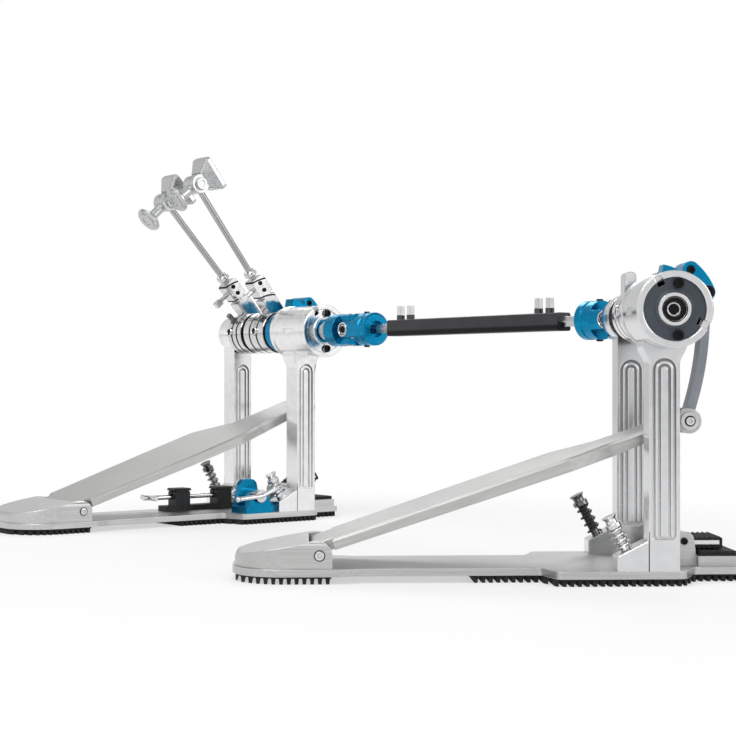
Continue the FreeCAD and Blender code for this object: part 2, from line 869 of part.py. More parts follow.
def secondary_axle():
    """Solid axle, stepped down past the hub, with a hexagon socket in its recessed right end."""
    left = secondary_pivot_y - yoke_floor - overrun
    recess = axle_right_end + end_recess_depth
    profile = [
        (recess, 0), (recess, end_recess_radius), (axle_right_end, end_recess_radius),
        (axle_right_end, axle_radius), (arbor_right, axle_radius),
        (arbor_right, arbor_radius), (arbor_left, arbor_radius), (arbor_left, axle_radius),
        (axle_left_end, axle_radius), (axle_left_end, through_radius), (left, through_radius), (left, 0),
    ]
    socket = hexagon(socket_flats, -overrun, socket_depth)
    socket.Placement = FreeCAD.Placement(Vec(0, recess, axle_height), FreeCAD.Rotation(UP, ACROSS))
    return turned(profile, axle_at, ACROSS).cut(socket)


def cam_sector(inner, outer, low_angle, high_angle, right, left):
    """Ring sector round the axle, run across between two y values."""
    middle = (low_angle + high_angle) / 2
    rim = [axle_at + heading(angle) * outer for angle in (low_angle, middle, high_angle)]
    root = [axle_at + heading(angle) * inner for angle in (high_angle, middle, low_angle)]
    edges = [
        Part.Arc(*rim).toShape(), Part.makeLine(rim[2], root[0]),
        Part.Arc(*root).toShape(), Part.makeLine(root[2], rim[0]),
    ]
    sector = Part.Face(Part.Wire(edges)).extrude(Vec(0, left - right, 0))
    sector.translate(Vec(0, right, 0))
    return sector


def cam_band(low_angle, right, left):
    """Round-ended band from an angle up to the cam's bridge screw."""
    inner = cam_pivot_reach - cam_band_half
    outer = cam_pivot_reach + cam_band_half
    ends = [axle_at + heading(angle) * cam_pivot_reach for angle in (low_angle, cam_screw_angle)]
    rounds = [cross_rod(end, right, left, cam_band_half) for end in ends]
    return joined(cam_sector(inner, outer, low_angle, cam_screw_angle, right, left), *rounds)


def drive_cam():
    """Hub with a web, and two round-ended cheeks that hold the link's upper eye, bridged above it."""
    near = cam_band(cam_pivot_angle, cam_right, cam_right + cam_cheek)
    far = cam_band(cam_pivot_angle, cam_left - cam_cheek, cam_left)
    bridge = cam_band(cam_bridge_angle, cam_right, cam_left)
    web = cam_sector(cam_hub_radius - overrun, cam_pivot_reach, cam_pivot_angle, cam_screw_angle,
                     cam_right, cam_right + cam_cheek)
    tail = cam_sector(cam_hub_radius - overrun, cam_tail_radius, cam_screw_angle, cam_tail_angle,
                      cam_right, cam_hub_left)
    hub = cross_rod(axle_at, cam_right, cam_hub_left, cam_hub_radius)
    body = joined(near, far, bridge, web, tail, hub)
    pin_hole = cross_rod(link_top_at, cam_right - overrun, cam_left + overrun, link_pin_radius + running_gap)
    axle_hole = cross_rod(axle_at, cam_right - overrun, cam_left + overrun, axle_radius + fixed_gap)
    screw_seat = cross_rod(cam_screw_at, cam_right - overrun, cam_right + link_pin_head_height,
                           cam_screw_radius)
    return body.cut([pin_hole, axle_hole, screw_seat])


def drive_link():
    """Bowed bar between two eyes."""
    chord = link_top_at - toe_at
    along = Vec(chord)
    along.normalize()
    bow_dir = Vec(along.z, 0, -along.x)
    middle = toe_at + chord / 2 + bow_dir * link_bow
    half = bow_dir * (link_thickness / 2)
    outer = Part.Arc(toe_at + half, middle + half, link_top_at + half).toShape()
    inner = Part.Arc(link_top_at - half, middle - half, toe_at - half).toShape()
    top_end = Part.makeLine(link_top_at + half, link_top_at - half)
    toe_end = Part.makeLine(toe_at - half, toe_at + half)
    bar = Part.Face(Part.Wire([outer, top_end, inner, toe_end])).extrude(Vec(0, link_width, 0))
    bar.translate(Vec(0, link_right, 0))
    eyes = [cross_rod(at, link_right, link_left, link_eye_radius) for at in (toe_at, link_top_at)]
    holes = [cross_rod(at, link_right - overrun, link_left + overrun, link_pin_radius + fixed_gap)
             for at in (toe_at, link_top_at)]
    return joined(bar, *eyes).cut(holes)


def headed_pin(at, head_radius):
    """Link pin with a socket head on its right end."""
    head = cam_right - side_gap
    profile = [
        (head - link_pin_head_height + pin_socket_depth, 0),
        (head - link_pin_head_height + pin_socket_depth, pin_socket_radius),
        (head - link_pin_head_height, pin_socket_radius), (head - link_pin_head_height, head_radius),
        (head, head_radius), (head, link_pin_radius), (cam_left + side_gap, link_pin_radius),
        (cam_left + side_gap, 0),
    ]
    return turned(profile, at, ACROSS)


def link_pins():
    return Part.Compound([headed_pin(link_top_at, link_pin_head), headed_pin(toe_at, toe_pin_head)])


def hub_ring(hub_from, hub_to, bore):
    """Grooved ring on the axle."""
    groove = hub_groove_width
    land = (hub_to - hub_from) / hub_land_count
    profile = [(hub_from, bore), (hub_from, hub_radius - hub_groove), (hub_from + hub_groove, hub_radius)]
    for i in range(1, hub_land_count):
        middle = hub_from + i * land
        profile += [(middle - groove / 2, hub_radius), (middle - groove / 2, hub_radius - hub_groove),
                    (middle + groove / 2, hub_radius - hub_groove), (middle + groove / 2, hub_radius)]
    profile += [(hub_to - hub_groove, hub_radius), (hub_to, hub_radius - hub_groove), (hub_to, bore)]
    return turned(profile, axle_at, ACROSS)


def empty_hub():
    """Hub of the pedal without a beater, with an open two-pronged cradle."""
    bore = axle_radius + fixed_gap
    right = right_beater_y - cradle_half_width
    left = right_beater_y + cradle_half_width
    root = axle_height + cradle_root
    top = axle_height + cradle_top
    prongs = []
    for back in (cradle_back, cradle_front - cradle_prong):
        prongs.append(side_prism([
            (back, root, 0), (back + cradle_prong, root, 0),
            (back + cradle_prong, top, tower_gap), (back, top, tower_gap),
        ], right, left))
    return joined(hub_ring(right_hub_from, right_hub_to, bore), *prongs)


def beater_hub(hub_from, hub_to, beater_y, bore, lean):
    """Grooved ring with a clamp tower for a beater rod, and the tower's key screw."""
    ring = hub_ring(hub_from, hub_to, bore)
    back = beater_offset - tower_back
    front = beater_offset + tower_front
    tower = side_prism([
        (back, axle_height + tower_root, 0), (front, axle_height + tower_root, 0),
        (front, axle_height + tower_top, tower_gap), (back, axle_height + tower_top, tower_gap),
    ], beater_y - tower_half_width, beater_y + tower_half_width)
    axle_room = cross_rod(axle_at, hub_from, hub_to, bore + overrun)
    rod_hole = Part.makeCylinder(rod_radius + running_gap, tower_top, Vec(beater_offset, beater_y,
                                 axle_height + rod_bottom - tower_gap))
    split = block(beater_offset, front + overrun, beater_y - tower_gap / 2, beater_y + tower_gap / 2,
                  axle_height + tower_neck, axle_height + tower_top + overrun)
    notch = block(back - overrun, front + overrun, beater_y - tower_half_width - overrun,
                  beater_y + tower_half_width + overrun, axle_height + tower_neck,
                  axle_height + tower_neck + tower_gap)
    keep = block(back + tower_gap, front - tower_gap, beater_y - tower_half_width - overrun,
                 beater_y + tower_half_width + overrun, 0, axle_height + tower_top)
    screw_z = axle_height + (tower_neck + tower_gap + tower_top) / 2
    screw_hole = rod_between(Vec(back - overrun, beater_y, screw_z), Vec(beater_offset, beater_y, screw_z),
                             key_screw_radius + fixed_gap)
    hub = joined(ring, tower.cut(axle_room)).cut([rod_hole, split, notch.cut(keep), screw_hole])
    screw_end = beater_offset - rod_radius - moving_gap
    head_back = back - key_screw_reach
    head_front = head_back + key_head_length
    shank = rod_between(Vec(screw_end, beater_y, screw_z), Vec(head_front, beater_y, screw_z),
                        key_screw_radius)
    head = block(head_back, head_front, beater_y - key_head_half, beater_y + key_head_half,
                 screw_z - key_head_half, screw_z + key_head_half)
    return leaned(Part.Compound([hub, joined(shank, head)]), lean)


def beater_rod(beater_y, reach, lean):
    low = Vec(beater_offset, beater_y, axle_height + rod_bottom)
    high = Vec(beater_offset, beater_y, axle_height + reach + rod_top_past_head)
    return leaned(rod_between(low, high, rod_radius), lean)


def beater_head(beater_y, reach, lean):
    """Hub on the rod with a flared front block and a round back disc."""
    centre = Vec(beater_offset, 0, axle_height + reach)
    right = beater_y - head_hub_half_width
    left = beater_y + head_hub_half_width
    hub = cross_rod(centre, right, left, head_hub_radius)
    boss = cross_rod(centre, right - head_boss_reach, left + head_boss_reach, head_boss_radius)
    sections = []
    for forward, half_height, half_width in (
            (head_front_root, head_front_root_half, head_hub_half_width),
            (head_front_length, head_front_face_half, head_front_half_width)):
        outline = rounded_face(both_sides([(-half_height, half_width, head_corner),
                                           (half_height, half_width, head_corner)]))
        outline.rotate(Vec(0, 0, 0), ACROSS, -FULL_TURN / 4)
        outline.translate(Vec(centre.x + forward, beater_y, centre.z))
        sections.append(outline.OuterWire)
    flare = Part.makeLoft(sections, True)
    face = rounded_face(both_sides([(-head_front_face_half, head_front_half_width, head_corner),
                                    (head_front_face_half, head_front_half_width, head_corner)]))
    face.rotate(Vec(0, 0, 0), ACROSS, -FULL_TURN / 4)
    face.translate(Vec(centre.x + head_front_length, beater_y, centre.z))
    pad = face.extrude(Vec(head_front_pad, 0, 0))
    stem = rod_between(Vec(centre.x, beater_y, centre.z), Vec(centre.x - head_disc_reach, beater_y, centre.z),
                       head_stem_radius)
    edge = head_disc_edge
    disc_profile = [
        (0, 0), (0, head_disc_radius - edge), (edge, head_disc_radius),
        (head_disc_thickness - edge, head_disc_radius), (head_disc_thickness, head_disc_radius - edge),
        (head_disc_thickness, 0),
    ]
    disc = turned(disc_profile, Vec(centre.x - head_disc_reach, beater_y, centre.z), -AHEAD)
    rod_hole = Part.makeCylinder(rod_radius + running_gap, head_hub_radius + rod_top_past_head + fixed_gap,
                                 Vec(centre.x, beater_y, centre.z - head_hub_radius))
    return leaned(joined(hub, boss, flare, pad, stem, disc).cut(rod_hole), lean)


def opened(shape, angle):
    """Turn a jaw piece up about the jaw pin."""
    return shape.rotated(jaw_at, ACROSS, -angle)


def jaw_arm():
    """Flat arm of the jaw, level with its eye."""
    low = jaw_pivot_z - jaw_arm_height
    return block(jaw_pivot_x, jaw_pivot_x + jaw_length, -jaw_half_width, jaw_half_width, low, jaw_pivot_z)


def clamp_jaw(angle):
    eye = cross_rod(jaw_at, -jaw_half_width, jaw_half_width, jaw_eye_radius)
    hole = cross_rod(jaw_at, -clamp_block_half, clamp_block_half, jaw_pin_radius + running_gap)
    return opened(joined(jaw_arm(), eye).cut(hole), angle)


def jaw_pad(angle):
    """Rubber boot over the jaw's arm, serrated above and below."""
    high = jaw_pivot_z + jaw_pad_top
    low = jaw_pivot_z - jaw_pad_drop
    back = jaw_pivot_x + jaw_pad_from
    front = jaw_pivot_x + jaw_length + jaw_pad_past
    pitch = (front - back) / jaw_pad_teeth
    above = []
    below = []
    for i in range(jaw_pad_teeth):
        start = back + i * pitch
        above += [(start, high - jaw_tooth_height, 0), (start + pitch / 2, high, 0)]
        below += [(start, low + jaw_tooth_height, 0), (start + pitch / 2, low, 0)]
    above.append((front, high - jaw_tooth_height, 0))
    below.append((front, low + jaw_tooth_height, 0))
    boot = side_prism(below + above[::-1], -jaw_half_width, jaw_half_width)
    return opened(boot.cut(jaw_arm()), angle)


def spur_screw(side, raised, length):
    """Pointed screw with a waisted key head."""
    neck = spur_head_step
    profile = [
        (0, 0), (spur_tip, spur_radius), (length, spur_radius), (length, spur_head_radius),
        (length + neck, spur_head_radius), (length + neck, spur_head_waist),
        (length + 2 * neck, spur_head_waist), (length + spur_head_length, spur_head_radius),
        (length + spur_head_length, 0),
    ]
    return turned(profile, spur_line(side, raised), spur_up)


def spur_screws():
    right = spur_screw(-1, 0, right_spur_length)
    left = spur_screw(1, left_spur_raise, left_spur_length)
    return Part.Compound([left, right])


def spur_springs():
    """Coil spring under each spur head, standing on the sloped foot."""
    springs = []
    for side, raised, length in ((1, left_spur_raise, left_spur_length), (-1, 0, right_spur_length)):
        low = spur_block_rise + spur_spring_wire + spring_seat_gap
        high = raised + length - spur_spring_wire - spring_seat_gap
        spring = coil(spur_spring_radius, spur_spring_wire, spur_spring_turns, high - low)
        spring.Placement = FreeCAD.Placement(spur_line(side, low), FreeCAD.Rotation(UP, spur_up))
        springs.append(spring)
    return Part.Compound(springs)


def clamp_bracket():
    """Two round-topped cheeks on a floor, the outer one notched for the lever."""
    back = bracket_x - bracket_half_length
    front = bracket_x + bracket_half_length
    top = plate_top + bracket_height
    back_top = plate_top + bracket_back_height
    inner = bracket_half_length - bracket_cheek
    outer = side_prism([
        (back, plate_top, 0), (front, plate_top, 0),
        (bracket_x + inner, top, bracket_cheek), (bracket_x - inner, top, bracket_cheek),
    ], bracket_right, bracket_right + bracket_cheek)
    far = side_prism([
        (back, plate_top, 0), (front, plate_top, 0),
        (bracket_x + inner, back_top, inner * bracket_round_share),
        (bracket_x - inner, back_top, inner * bracket_round_share),
    ], bracket_left - bracket_cheek, bracket_left)
    floor = block(back, front, bracket_right, bracket_left, plate_top, plate_top + bracket_floor)
    notch = cross_rod(lever_at(), bracket_right - overrun, bracket_right + bracket_cheek, bracket_notch)
    throat = block(bracket_x - bracket_notch, bracket_x + bracket_notch, bracket_right - overrun,
                   bracket_right + bracket_cheek, lever_at().z, top + overrun)
    pin_hole = cross_rod(lever_at(), bracket_right, bracket_left + overrun, lever_pin_radius + running_gap)
    cuts = [notch, throat, pin_hole]
    for spread in (-bracket_hole_spread, bracket_hole_spread):
        at = Vec(bracket_x + spread, (bracket_right + bracket_left) / 2, plate_top - overrun)
        cuts.append(Part.makeCylinder(bracket_hole_radius, bracket_floor + 2 * overrun, at))
    return joined(outer, far, floor).cut(cuts)


def lever_at():
    """Axis of the clamp lever in its bracket."""
    return Vec(bracket_x, 0, plate_top + bracket_height - lever_drop)


def clamp_lever():
    """Winged lever on a short pin."""
    at = lever_at()
    right = bracket_right - lever_thickness / 2 - side_gap
    left = bracket_left - bracket_cheek - side_gap
    hub = cross_rod(at, right, left, lever_hub_radius)
    pin = cross_rod(at, left - overrun, bracket_left, lever_pin_radius)
    wings = []
    for reach, rise in ((-lever_reach, -lever_dip), (lever_tail, lever_rise)):
        tip = at + Vec(reach, 0, rise)
        wing = rod_between(Vec(at.x, right, at.z), Vec(tip.x, right, tip.z), lever_thickness / 2)
        ball = Part.makeSphere(lever_tip_radius / 2, Vec(tip.x, right, tip.z))
        wings += [wing, ball]
    return joined(hub, pin, *wings)


def key_holder():
    """Floor strip with two clips that grip the key from above."""
    floor = block(holder_back, holder_front, holder_y - holder_half_width, holder_y + holder_half_width,
                  plate_top, plate_top + holder_floor)
    clips = []
    for at in holder_clip_at:
        clips.append(side_prism([
            (at - holder_clip_foot, plate_top, 0), (at + holder_clip_foot, plate_top, 0),
            (at + holder_clip_half, plate_top + holder_floor, holder_floor / 2),
            (at + holder_clip_half, plate_top + holder_height, holder_floor / 2),
            (at - holder_clip_half, plate_top + holder_height, holder_floor / 2),
            (at - holder_clip_half, plate_top + holder_floor, holder_floor / 2),
        ], holder_y - holder_half_width, holder_y + holder_half_width))
    channel = rod_between(key_point(holder_back - overrun), key_point(holder_front + overrun),
                          key_radius + running_gap)
    throat = block(holder_back, holder_front, holder_y - key_radius / 2, holder_y + key_radius / 2,
                   plate_top + key_height, plate_top + holder_height + overrun)
    return joined(floor, *clips).cut([channel, throat])


def key_point(x):
    return Vec(x, holder_y, plate_top + key_height)


def drum_key():
    """Tuning key: a shaft with a cross grip and a square socket."""
    shaft = rod_between(key_point(key_back), key_point(key_front), key_radius)
    grip = key_point(key_grip_from)
    bar = cross_rod(grip, grip.y - key_grip_half, grip.y + key_grip_half, key_radius)
    socket = rod_between(key_point(key_front), key_point(key_front + key_socket_length), key_socket_radius)
    bore = block(key_front + key_socket_length - key_socket_depth, key_front + key_socket_length + overrun,
                 holder_y - key_socket_bore, holder_y + key_socket_bore,
                 grip.z - key_socket_bore, grip.z + key_socket_bore)
    return joined(shaft, bar, socket.cut(bore))


def on_axis(shape, pivot, away, ear_axis):
    """Set a joint piece drawn along z, with its pin along x, at a pivot."""
    turn = FreeCAD.Rotation(ear_axis, away.cross(ear_axis), away, "ZXY")
    shape.Placement = FreeCAD.Placement(pivot, turn)
    return shape


def yoke(profile, bore, pin_gap):
    """Universal-joint yoke: two ears on a round body, drawn from the pivot up along z."""
    body = turned(profile, Vec(0, 0, 0), UP)
    ears = []
    for side in (1, -1):
        inner, outer = sorted((side * ear_inner, side * ear_outer))
        arm = block(inner, outer, -ear_half_width, ear_half_width, 0, yoke_floor + overrun)
        eye = Part.makeCylinder(ear_half_width, outer - inner, Vec(inner, 0, 0), AHEAD)
        ears.append(joined(arm, eye))
    round_limit = Part.makeCylinder(yoke_radius, 2 * axle_yoke_length, Vec(0, 0, -axle_yoke_length))
    pin_hole = rod_between(Vec(-yoke_radius, 0, 0), Vec(yoke_radius, 0, 0), cross_pin_radius + pin_gap)
    limited = [ear.common(round_limit) for ear in ears]
    return joined(body, *limited).cut([pin_hole, bore])


def axle_yoke():
    end = axle_yoke_length
    profile = [
        (yoke_floor, 0), (yoke_floor, yoke_radius), (end - yoke_chamfer, yoke_radius),
        (end, yoke_radius - yoke_chamfer), (end, 0),
    ]
    bore = Part.makeCylinder(through_radius + fixed_gap, end, Vec(0, 0, yoke_floor + overrun - fixed_gap))
    return yoke(profile, bore, running_gap)


def shaft_yoke():
    body = shaft_yoke_body
    end = shaft_yoke_length
    profile = [
        (yoke_floor, 0), (yoke_floor, yoke_radius), (body, yoke_radius),
        (body + yoke_groove, yoke_radius - yoke_groove), (body + 2 * yoke_groove, yoke_radius - yoke_groove),
        (body + 3 * yoke_groove, yoke_radius), (end - yoke_chamfer, yoke_radius), (end, yoke_mouth_radius),
        (end, yoke_recess_radius), (end - yoke_recess_depth, yoke_recess_radius),
        (end - yoke_recess_depth, 0),
    ]
    bore = hexagon(rod_flats + 2 * fixed_gap, rod_into_yoke - fixed_gap, end + overrun)
    return yoke(profile, bore, open_pivot_gap)


def cross():
    """Joint cross, with its open-pivot pin along x and its running pin along y."""
    body = block(-cross_half, cross_half, -cross_half, cross_half, -cross_half, cross_half)
    profile = [
        (-cross_pin_reach, 0), (-cross_pin_reach, cross_pin_radius), (cross_pin_reach, cross_pin_radius),
        (cross_pin_reach, cross_recess_radius), (cross_pin_reach - cross_recess_depth, cross_recess_radius),
        (cross_pin_reach - cross_recess_depth, 0),
    ]
    pins = [turned(profile, Vec(0, 0, 0), axis) for axis in (-AHEAD, ACROSS)]
    limit = Part.makeSphere(cross_ball_radius)
    return joined(body.common(limit), *pins)


def pedal_placement(name):
    if name == "primary":
        return FreeCAD.Placement()
    return FreeCAD.Placement(Vec(secondary_x, secondary_y, 0), FreeCAD.Rotation(UP, secondary_yaw))


def joint_pivots():
    """Centres of the two universal joints."""
    primary = pedal_placement("primary").multVec(Vec(0, primary_pivot_y, axle_height))
    secondary = pedal_placement("secondary").multVec(Vec(0, secondary_pivot_y, axle_height))
    return primary, secondary


def drive_shaft():
    """Yokes, crosses, rods, sleeve and key screws between the two pedals."""
    primary, secondary = joint_pivots()
    away = (secondary - primary).normalize()
    level = UP.cross(away)
    length = (secondary - primary).Length
    primary_axis = ACROSS
    secondary_axis = pedal_placement("secondary").Rotation.multVec(-ACROSS)
    pieces = {
        "primary_axle_yoke": on_axis(axle_yoke(), primary, primary_axis, UP),
        "primary_shaft_yoke": on_axis(shaft_yoke(), primary, away, level),
        "primary_joint_cross": on_axis(cross(), primary, away, level),
        "secondary_axle_yoke": on_axis(axle_yoke(), secondary, secondary_axis, UP),
        "secondary_shaft_yoke": on_axis(shaft_yoke(), secondary, -away, level),
        "secondary_joint_cross": on_axis(cross(), secondary, -away, level),
    }
    primary_rod = hexagon(rod_flats, rod_into_yoke, rod_into_yoke + primary_rod_length)
    secondary_rod = hexagon(rod_flats, rod_into_yoke, rod_into_yoke + secondary_rod_length)
    pieces["primary_rod"] = on_axis(primary_rod, primary, away, level)
    pieces["secondary_rod"] = on_axis(secondary_rod, secondary, -away, level)
    half = sleeve_half
    sleeve_from = sleeve_near_gap
    sleeve_to = length - sleeve_far_gap
    screw_places = [sleeve_from + inset for inset in sleeve_near_screws]
    screw_places += [sleeve_to - inset for inset in sleeve_far_screws]
    tube = flat_prism([(-half, -half, sleeve_edge), (half, -half, sleeve_edge),
                       (half, half, sleeve_edge), (-half, half, sleeve_edge)], sleeve_from, sleeve_to)
    bore = hexagon(rod_flats + 4 * running_gap, sleeve_from - overrun, sleeve_to + overrun)
    screws = []
    holes = []
    for at in screw_places:
        foot = Vec(0, rod_flats / 2 + 2 * running_gap + fixed_gap, at)
        wall = half - foot.y
        collar = wall + sleeve_collar_height
        key = collar + sleeve_key_height
        profile = [(0, 0), (0, sleeve_screw_radius), (wall + fixed_gap, sleeve_screw_radius),
                   (wall + fixed_gap, sleeve_collar_radius), (collar, sleeve_collar_radius), (collar, 0)]
        head = block(-sleeve_key_half, sleeve_key_half, foot.y + collar - fixed_gap, foot.y + key,
                     at - sleeve_key_half, at + sleeve_key_half)
        screws.append(joined(turned(profile, foot, ACROSS), head))
        holes.append(Part.makeCylinder(sleeve_screw_radius + fixed_gap, half, Vec(0, 0, at), ACROSS))
    pieces["drive_sleeve"] = on_axis(tube.cut([bore] + holes), primary, away, level)
    pieces["sleeve_screws"] = on_axis(Part.Compound(screws), primary, away, level)
    print("drive shaft length between joints", round(length, 1))
    return pieces


def through_shaft():
    """Shaft inside the primary axle, from the universal joint to the left beater's hub and post."""
    right = primary_pivot_y + yoke_floor + overrun
    profile = [
        (right, 0), (right, through_radius), (shaft_collar_right, through_radius),
        (shaft_collar_right, shaft_collar_radius), (shaft_collar_left, shaft_collar_radius),
        (shaft_collar_left, through_radius), (end_cap_from, through_radius), (end_cap_from, end_cap_radius),
        (end_cap_to - yoke_chamfer, end_cap_radius), (end_cap_to, end_cap_radius - yoke_chamfer),
        (end_cap_to, 0),
    ]
    return turned(profile, axle_at, ACROSS)


def pedal(name, jaw_angle, axle, hub):
    pieces = {
        "base_plate": base_plate(),
        "rubber_pads": rubber_pads(),
        "heel_block": heel_block(),
        "left_post": post(1),
        "right_post": post(-1),
        "spring_housing": spring_housing(),
        "tension_plate": tension_plate(),
        "torsion_spring": torsion_spring(),
        "bearings": bearings(),
        "fasteners": fasteners(),
        "footboard": footboard(),
        "axle": axle,
        "drive_cam": drive_cam(),
        "beater_hub": hub,
        "drive_link": drive_link(),
        "link_pins": link_pins(),
        "clamp_jaw": clamp_jaw(jaw_angle),
        "jaw_pad": jaw_pad(jaw_angle),
        "spur_screws": spur_screws(),
        "spur_springs": spur_springs(),
    }
    placed = {}
    for piece, shape in pieces.items():
        shape.Placement = pedal_placement(name).multiply(shape.Placement)
        placed[name + "_" + piece] = shape
    return placed


def assembly():
    """Every piece by name, with the origin under the middle of the whole set."""
    right_bore = axle_radius + fixed_gap
    right_hub = beater_hub(right_hub_from, right_hub_to, right_beater_y, right_bore, right_lean)
    pieces = pedal("primary", primary_jaw_open, primary_axle(), right_hub)
    pieces.update(pedal("secondary", secondary_jaw_open, secondary_axle(), empty_hub()))
    pieces.update(drive_shaft())
    pieces["through_shaft"] = through_shaft()
    left_bore = through_radius + fixed_gap
    left_hub = beater_hub(left_hub_from, left_hub_to, left_beater_y, left_bore, left_lean)
    pieces["left_beater_hub"] = left_hub
    pieces["right_beater_rod"] = beater_rod(right_beater_y, right_beater_reach, right_lean)
    pieces["left_beater_rod"] = beater_rod(left_beater_y, left_beater_reach, left_lean)
    pieces["right_beater_head"] = beater_head(right_beater_y, right_beater_reach, right_lean)
    pieces["left_beater_head"] = beater_head(left_beater_y, left_beater_reach, left_lean)
    pieces["clamp_bracket"] = clamp_bracket()
    pieces["clamp_lever"] = clamp_lever()
    pieces["key_holder"] = key_holder()
    pieces["drum_key"] = drum_key()
    box = Part.Compound(list(pieces.values())).optimalBoundingBox(False, False)
    shift = Vec(-box.Center.x, -box.Center.y, -box.ZMin)
    for shape in pieces.values():
        shape.translate(shift)
    return pieces, shift


pieces, origin_shift = assembly()
os.makedirs("parts", exist_ok=True)
for name, shape in pieces.items():
    shape.exportStep("parts/" + name + ".step")
print("pieces", len(pieces), "origin shift", origin_shift)
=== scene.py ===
import json
import math
from collections import namedtuple
import bmesh
import bpy
from mathutils import Matrix, Vector


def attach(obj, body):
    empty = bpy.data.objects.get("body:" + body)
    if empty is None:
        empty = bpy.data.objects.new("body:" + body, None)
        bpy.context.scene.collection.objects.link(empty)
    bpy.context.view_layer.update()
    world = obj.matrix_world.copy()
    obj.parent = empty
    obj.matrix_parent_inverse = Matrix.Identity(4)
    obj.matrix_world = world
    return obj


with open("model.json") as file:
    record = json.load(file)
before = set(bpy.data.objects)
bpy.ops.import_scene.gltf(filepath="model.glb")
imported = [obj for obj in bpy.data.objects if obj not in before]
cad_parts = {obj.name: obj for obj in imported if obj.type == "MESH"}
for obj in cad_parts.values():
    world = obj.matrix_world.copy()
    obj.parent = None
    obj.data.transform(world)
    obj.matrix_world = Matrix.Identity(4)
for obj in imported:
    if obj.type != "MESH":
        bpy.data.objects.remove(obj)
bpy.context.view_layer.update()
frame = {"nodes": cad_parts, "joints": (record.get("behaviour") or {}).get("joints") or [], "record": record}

# Looks of a double bass drum pedal in metres. Places are given in a pedal's own frame, x from heel to toe,
# y to the player's left, z up from the floor, with the axle above the origin.

UP = Vector((0, 0, 1))
FULL_TURN = 2 * math.pi
ROUND = 32
HEX = 6
PEDALS = ("primary", "secondary")
Screw = namedtuple("Screw", "radius height socket")
Ring = namedtuple("Ring", "inner outer height")
Lamp = namedtuple("Lamp", "name at size power")

# Camera of the photograph
CAMERA_AT = (-0.79, -1.05308, 0.13772)
CAMERA_LOOKS = (0.61259, 0.79038, 0.00541)
CAMERA_LENS = 80.26
CAMERA_CLIP = (0.01, 100.0)
SENSOR = 36.0

# Places along the pedals, repeated from the solids
AXLE_HEIGHT = 0.181
PLATE_TOP = 0.010
POST_MIDDLE = 0.055
POST_INSIDE = 0.0088
GROOVE_HALF = 0.0082
GROOVE_MIDDLE = 0.093
GROOVE_RISE = 0.064
GROOVE_FADE = (0.045, 0.157)
GROOVE_FOOT_SHARE = 0.15
SIDE_BLEND = 0.002
SEAM_AT = -0.0102
SEAM_HALF = 0.0004
SEAM_TOP = 0.036
POST_SKIN = 0.0636
PLATE_FACE = -0.0942
PLATE_STEP_FACE = -0.093
PLATE_SCREW_CIRCLE = 0.0168
PLATE_SCREW_ANGLES = (81, -82)
AXLE_END = -0.093
AXLE_RECESS_FLOOR = -0.090
CAM_FACE = -0.0355
CAM_PIVOT_RADIUS = 0.0379
CAM_SCREW_ANGLE = 50
LINK_PIN_FACE = -0.0386
SPUR_TILT = math.radians(27)
SPUR_FOOT = (-0.013, 0.002)
SPUR_RADIUS = 0.003
SPUR_BLOCK_RISE = 0.024
SPUR_LENGTH = {"left": 0.044, "right": 0.041}
SPUR_RAISE = {"left": 0.004, "right": 0.0}
HUB_RADIUS = 0.020
HUB_GROOVE_RADIUS = 0.0196
BRACKET_GAPS = (0.0375, 0.0545)
BRACKET_GAP_HALF = 0.0008
END_CAP = (0.011, 0.0695)
BEATER_LEAN = {"right": math.radians(37), "left": math.radians(42.5)}
BEATER_SIDE = {"right": -0.005, "left": 0.036}
BEATER_REACH = {"right": 0.164, "left": 0.157}
BEATER_OFFSET = 0.015
TOWER_TOP = 0.055
TOWER_HALF = 0.0065
HEAD_FACE = 0.021
HEAD_FACE_HALF = (0.013, 0.017)
HEAD_CORNER = 0.003
HEAD_BOSS_END = 0.011
HEAD_DISC_BACK = -0.029
JAW_PIN = (0.022, 0.026)
JAW_PIN_HALF = 0.025
HINGE_PIN = (-0.226, 0.019)
HINGE_PIN_HALF = 0.043
TOE_PIN = (0.023, 0.108)
HOLDER_SIDE = 0.015
HOLDER_CLIPS = (-0.093, -0.046)
HOLDER_HEIGHT = 0.019
EAR_OUTER = 0.0146
CROSS_REACH = 0.0144
YOKE_RADIUS = 0.015
YOKE_SCREW_AT = 0.0185
BOARD_TILT = math.radians(18.8)
SLEEVE_UNDER = (-0.0032, -0.0018)
SLEEVE_COLLAR_TOP = 0.0112


def joint(name):
    return next(j for j in frame["joints"] if j["name"] == name)


def axis_of(name):
    return Vector(joint(name)["axis"])


def place_of(name):
    return Vector(joint(name)["pos_m"])


class PedalFrame:
    """Turns places in a pedal's own frame into places in the model."""

    def __init__(self, name):
        self.name = name
        self.across = axis_of(name + "_axle_turn")
        self.ahead = self.across.cross(UP)
        self.origin = place_of(name + "_axle_turn") - UP * AXLE_HEIGHT
        self.yaw = math.atan2(self.ahead.y, self.ahead.x)

    def at(self, x, y, z):
        return self.origin + self.way(x, y, z)

    def way(self, x, y, z):
        return self.ahead * x + self.across * y + UP * z

    def outward(self, degrees):
        """Direction away from the axle, at an angle up from the toe direction."""
        turn = math.radians(degrees)
        return self.way(math.cos(turn), 0, math.sin(turn))

    def round_axle(self, radius, degrees, y):
        return self.at(0, y, AXLE_HEIGHT) + self.outward(degrees) * radius


PEDAL = {name: PedalFrame(name) for name in PEDALS}


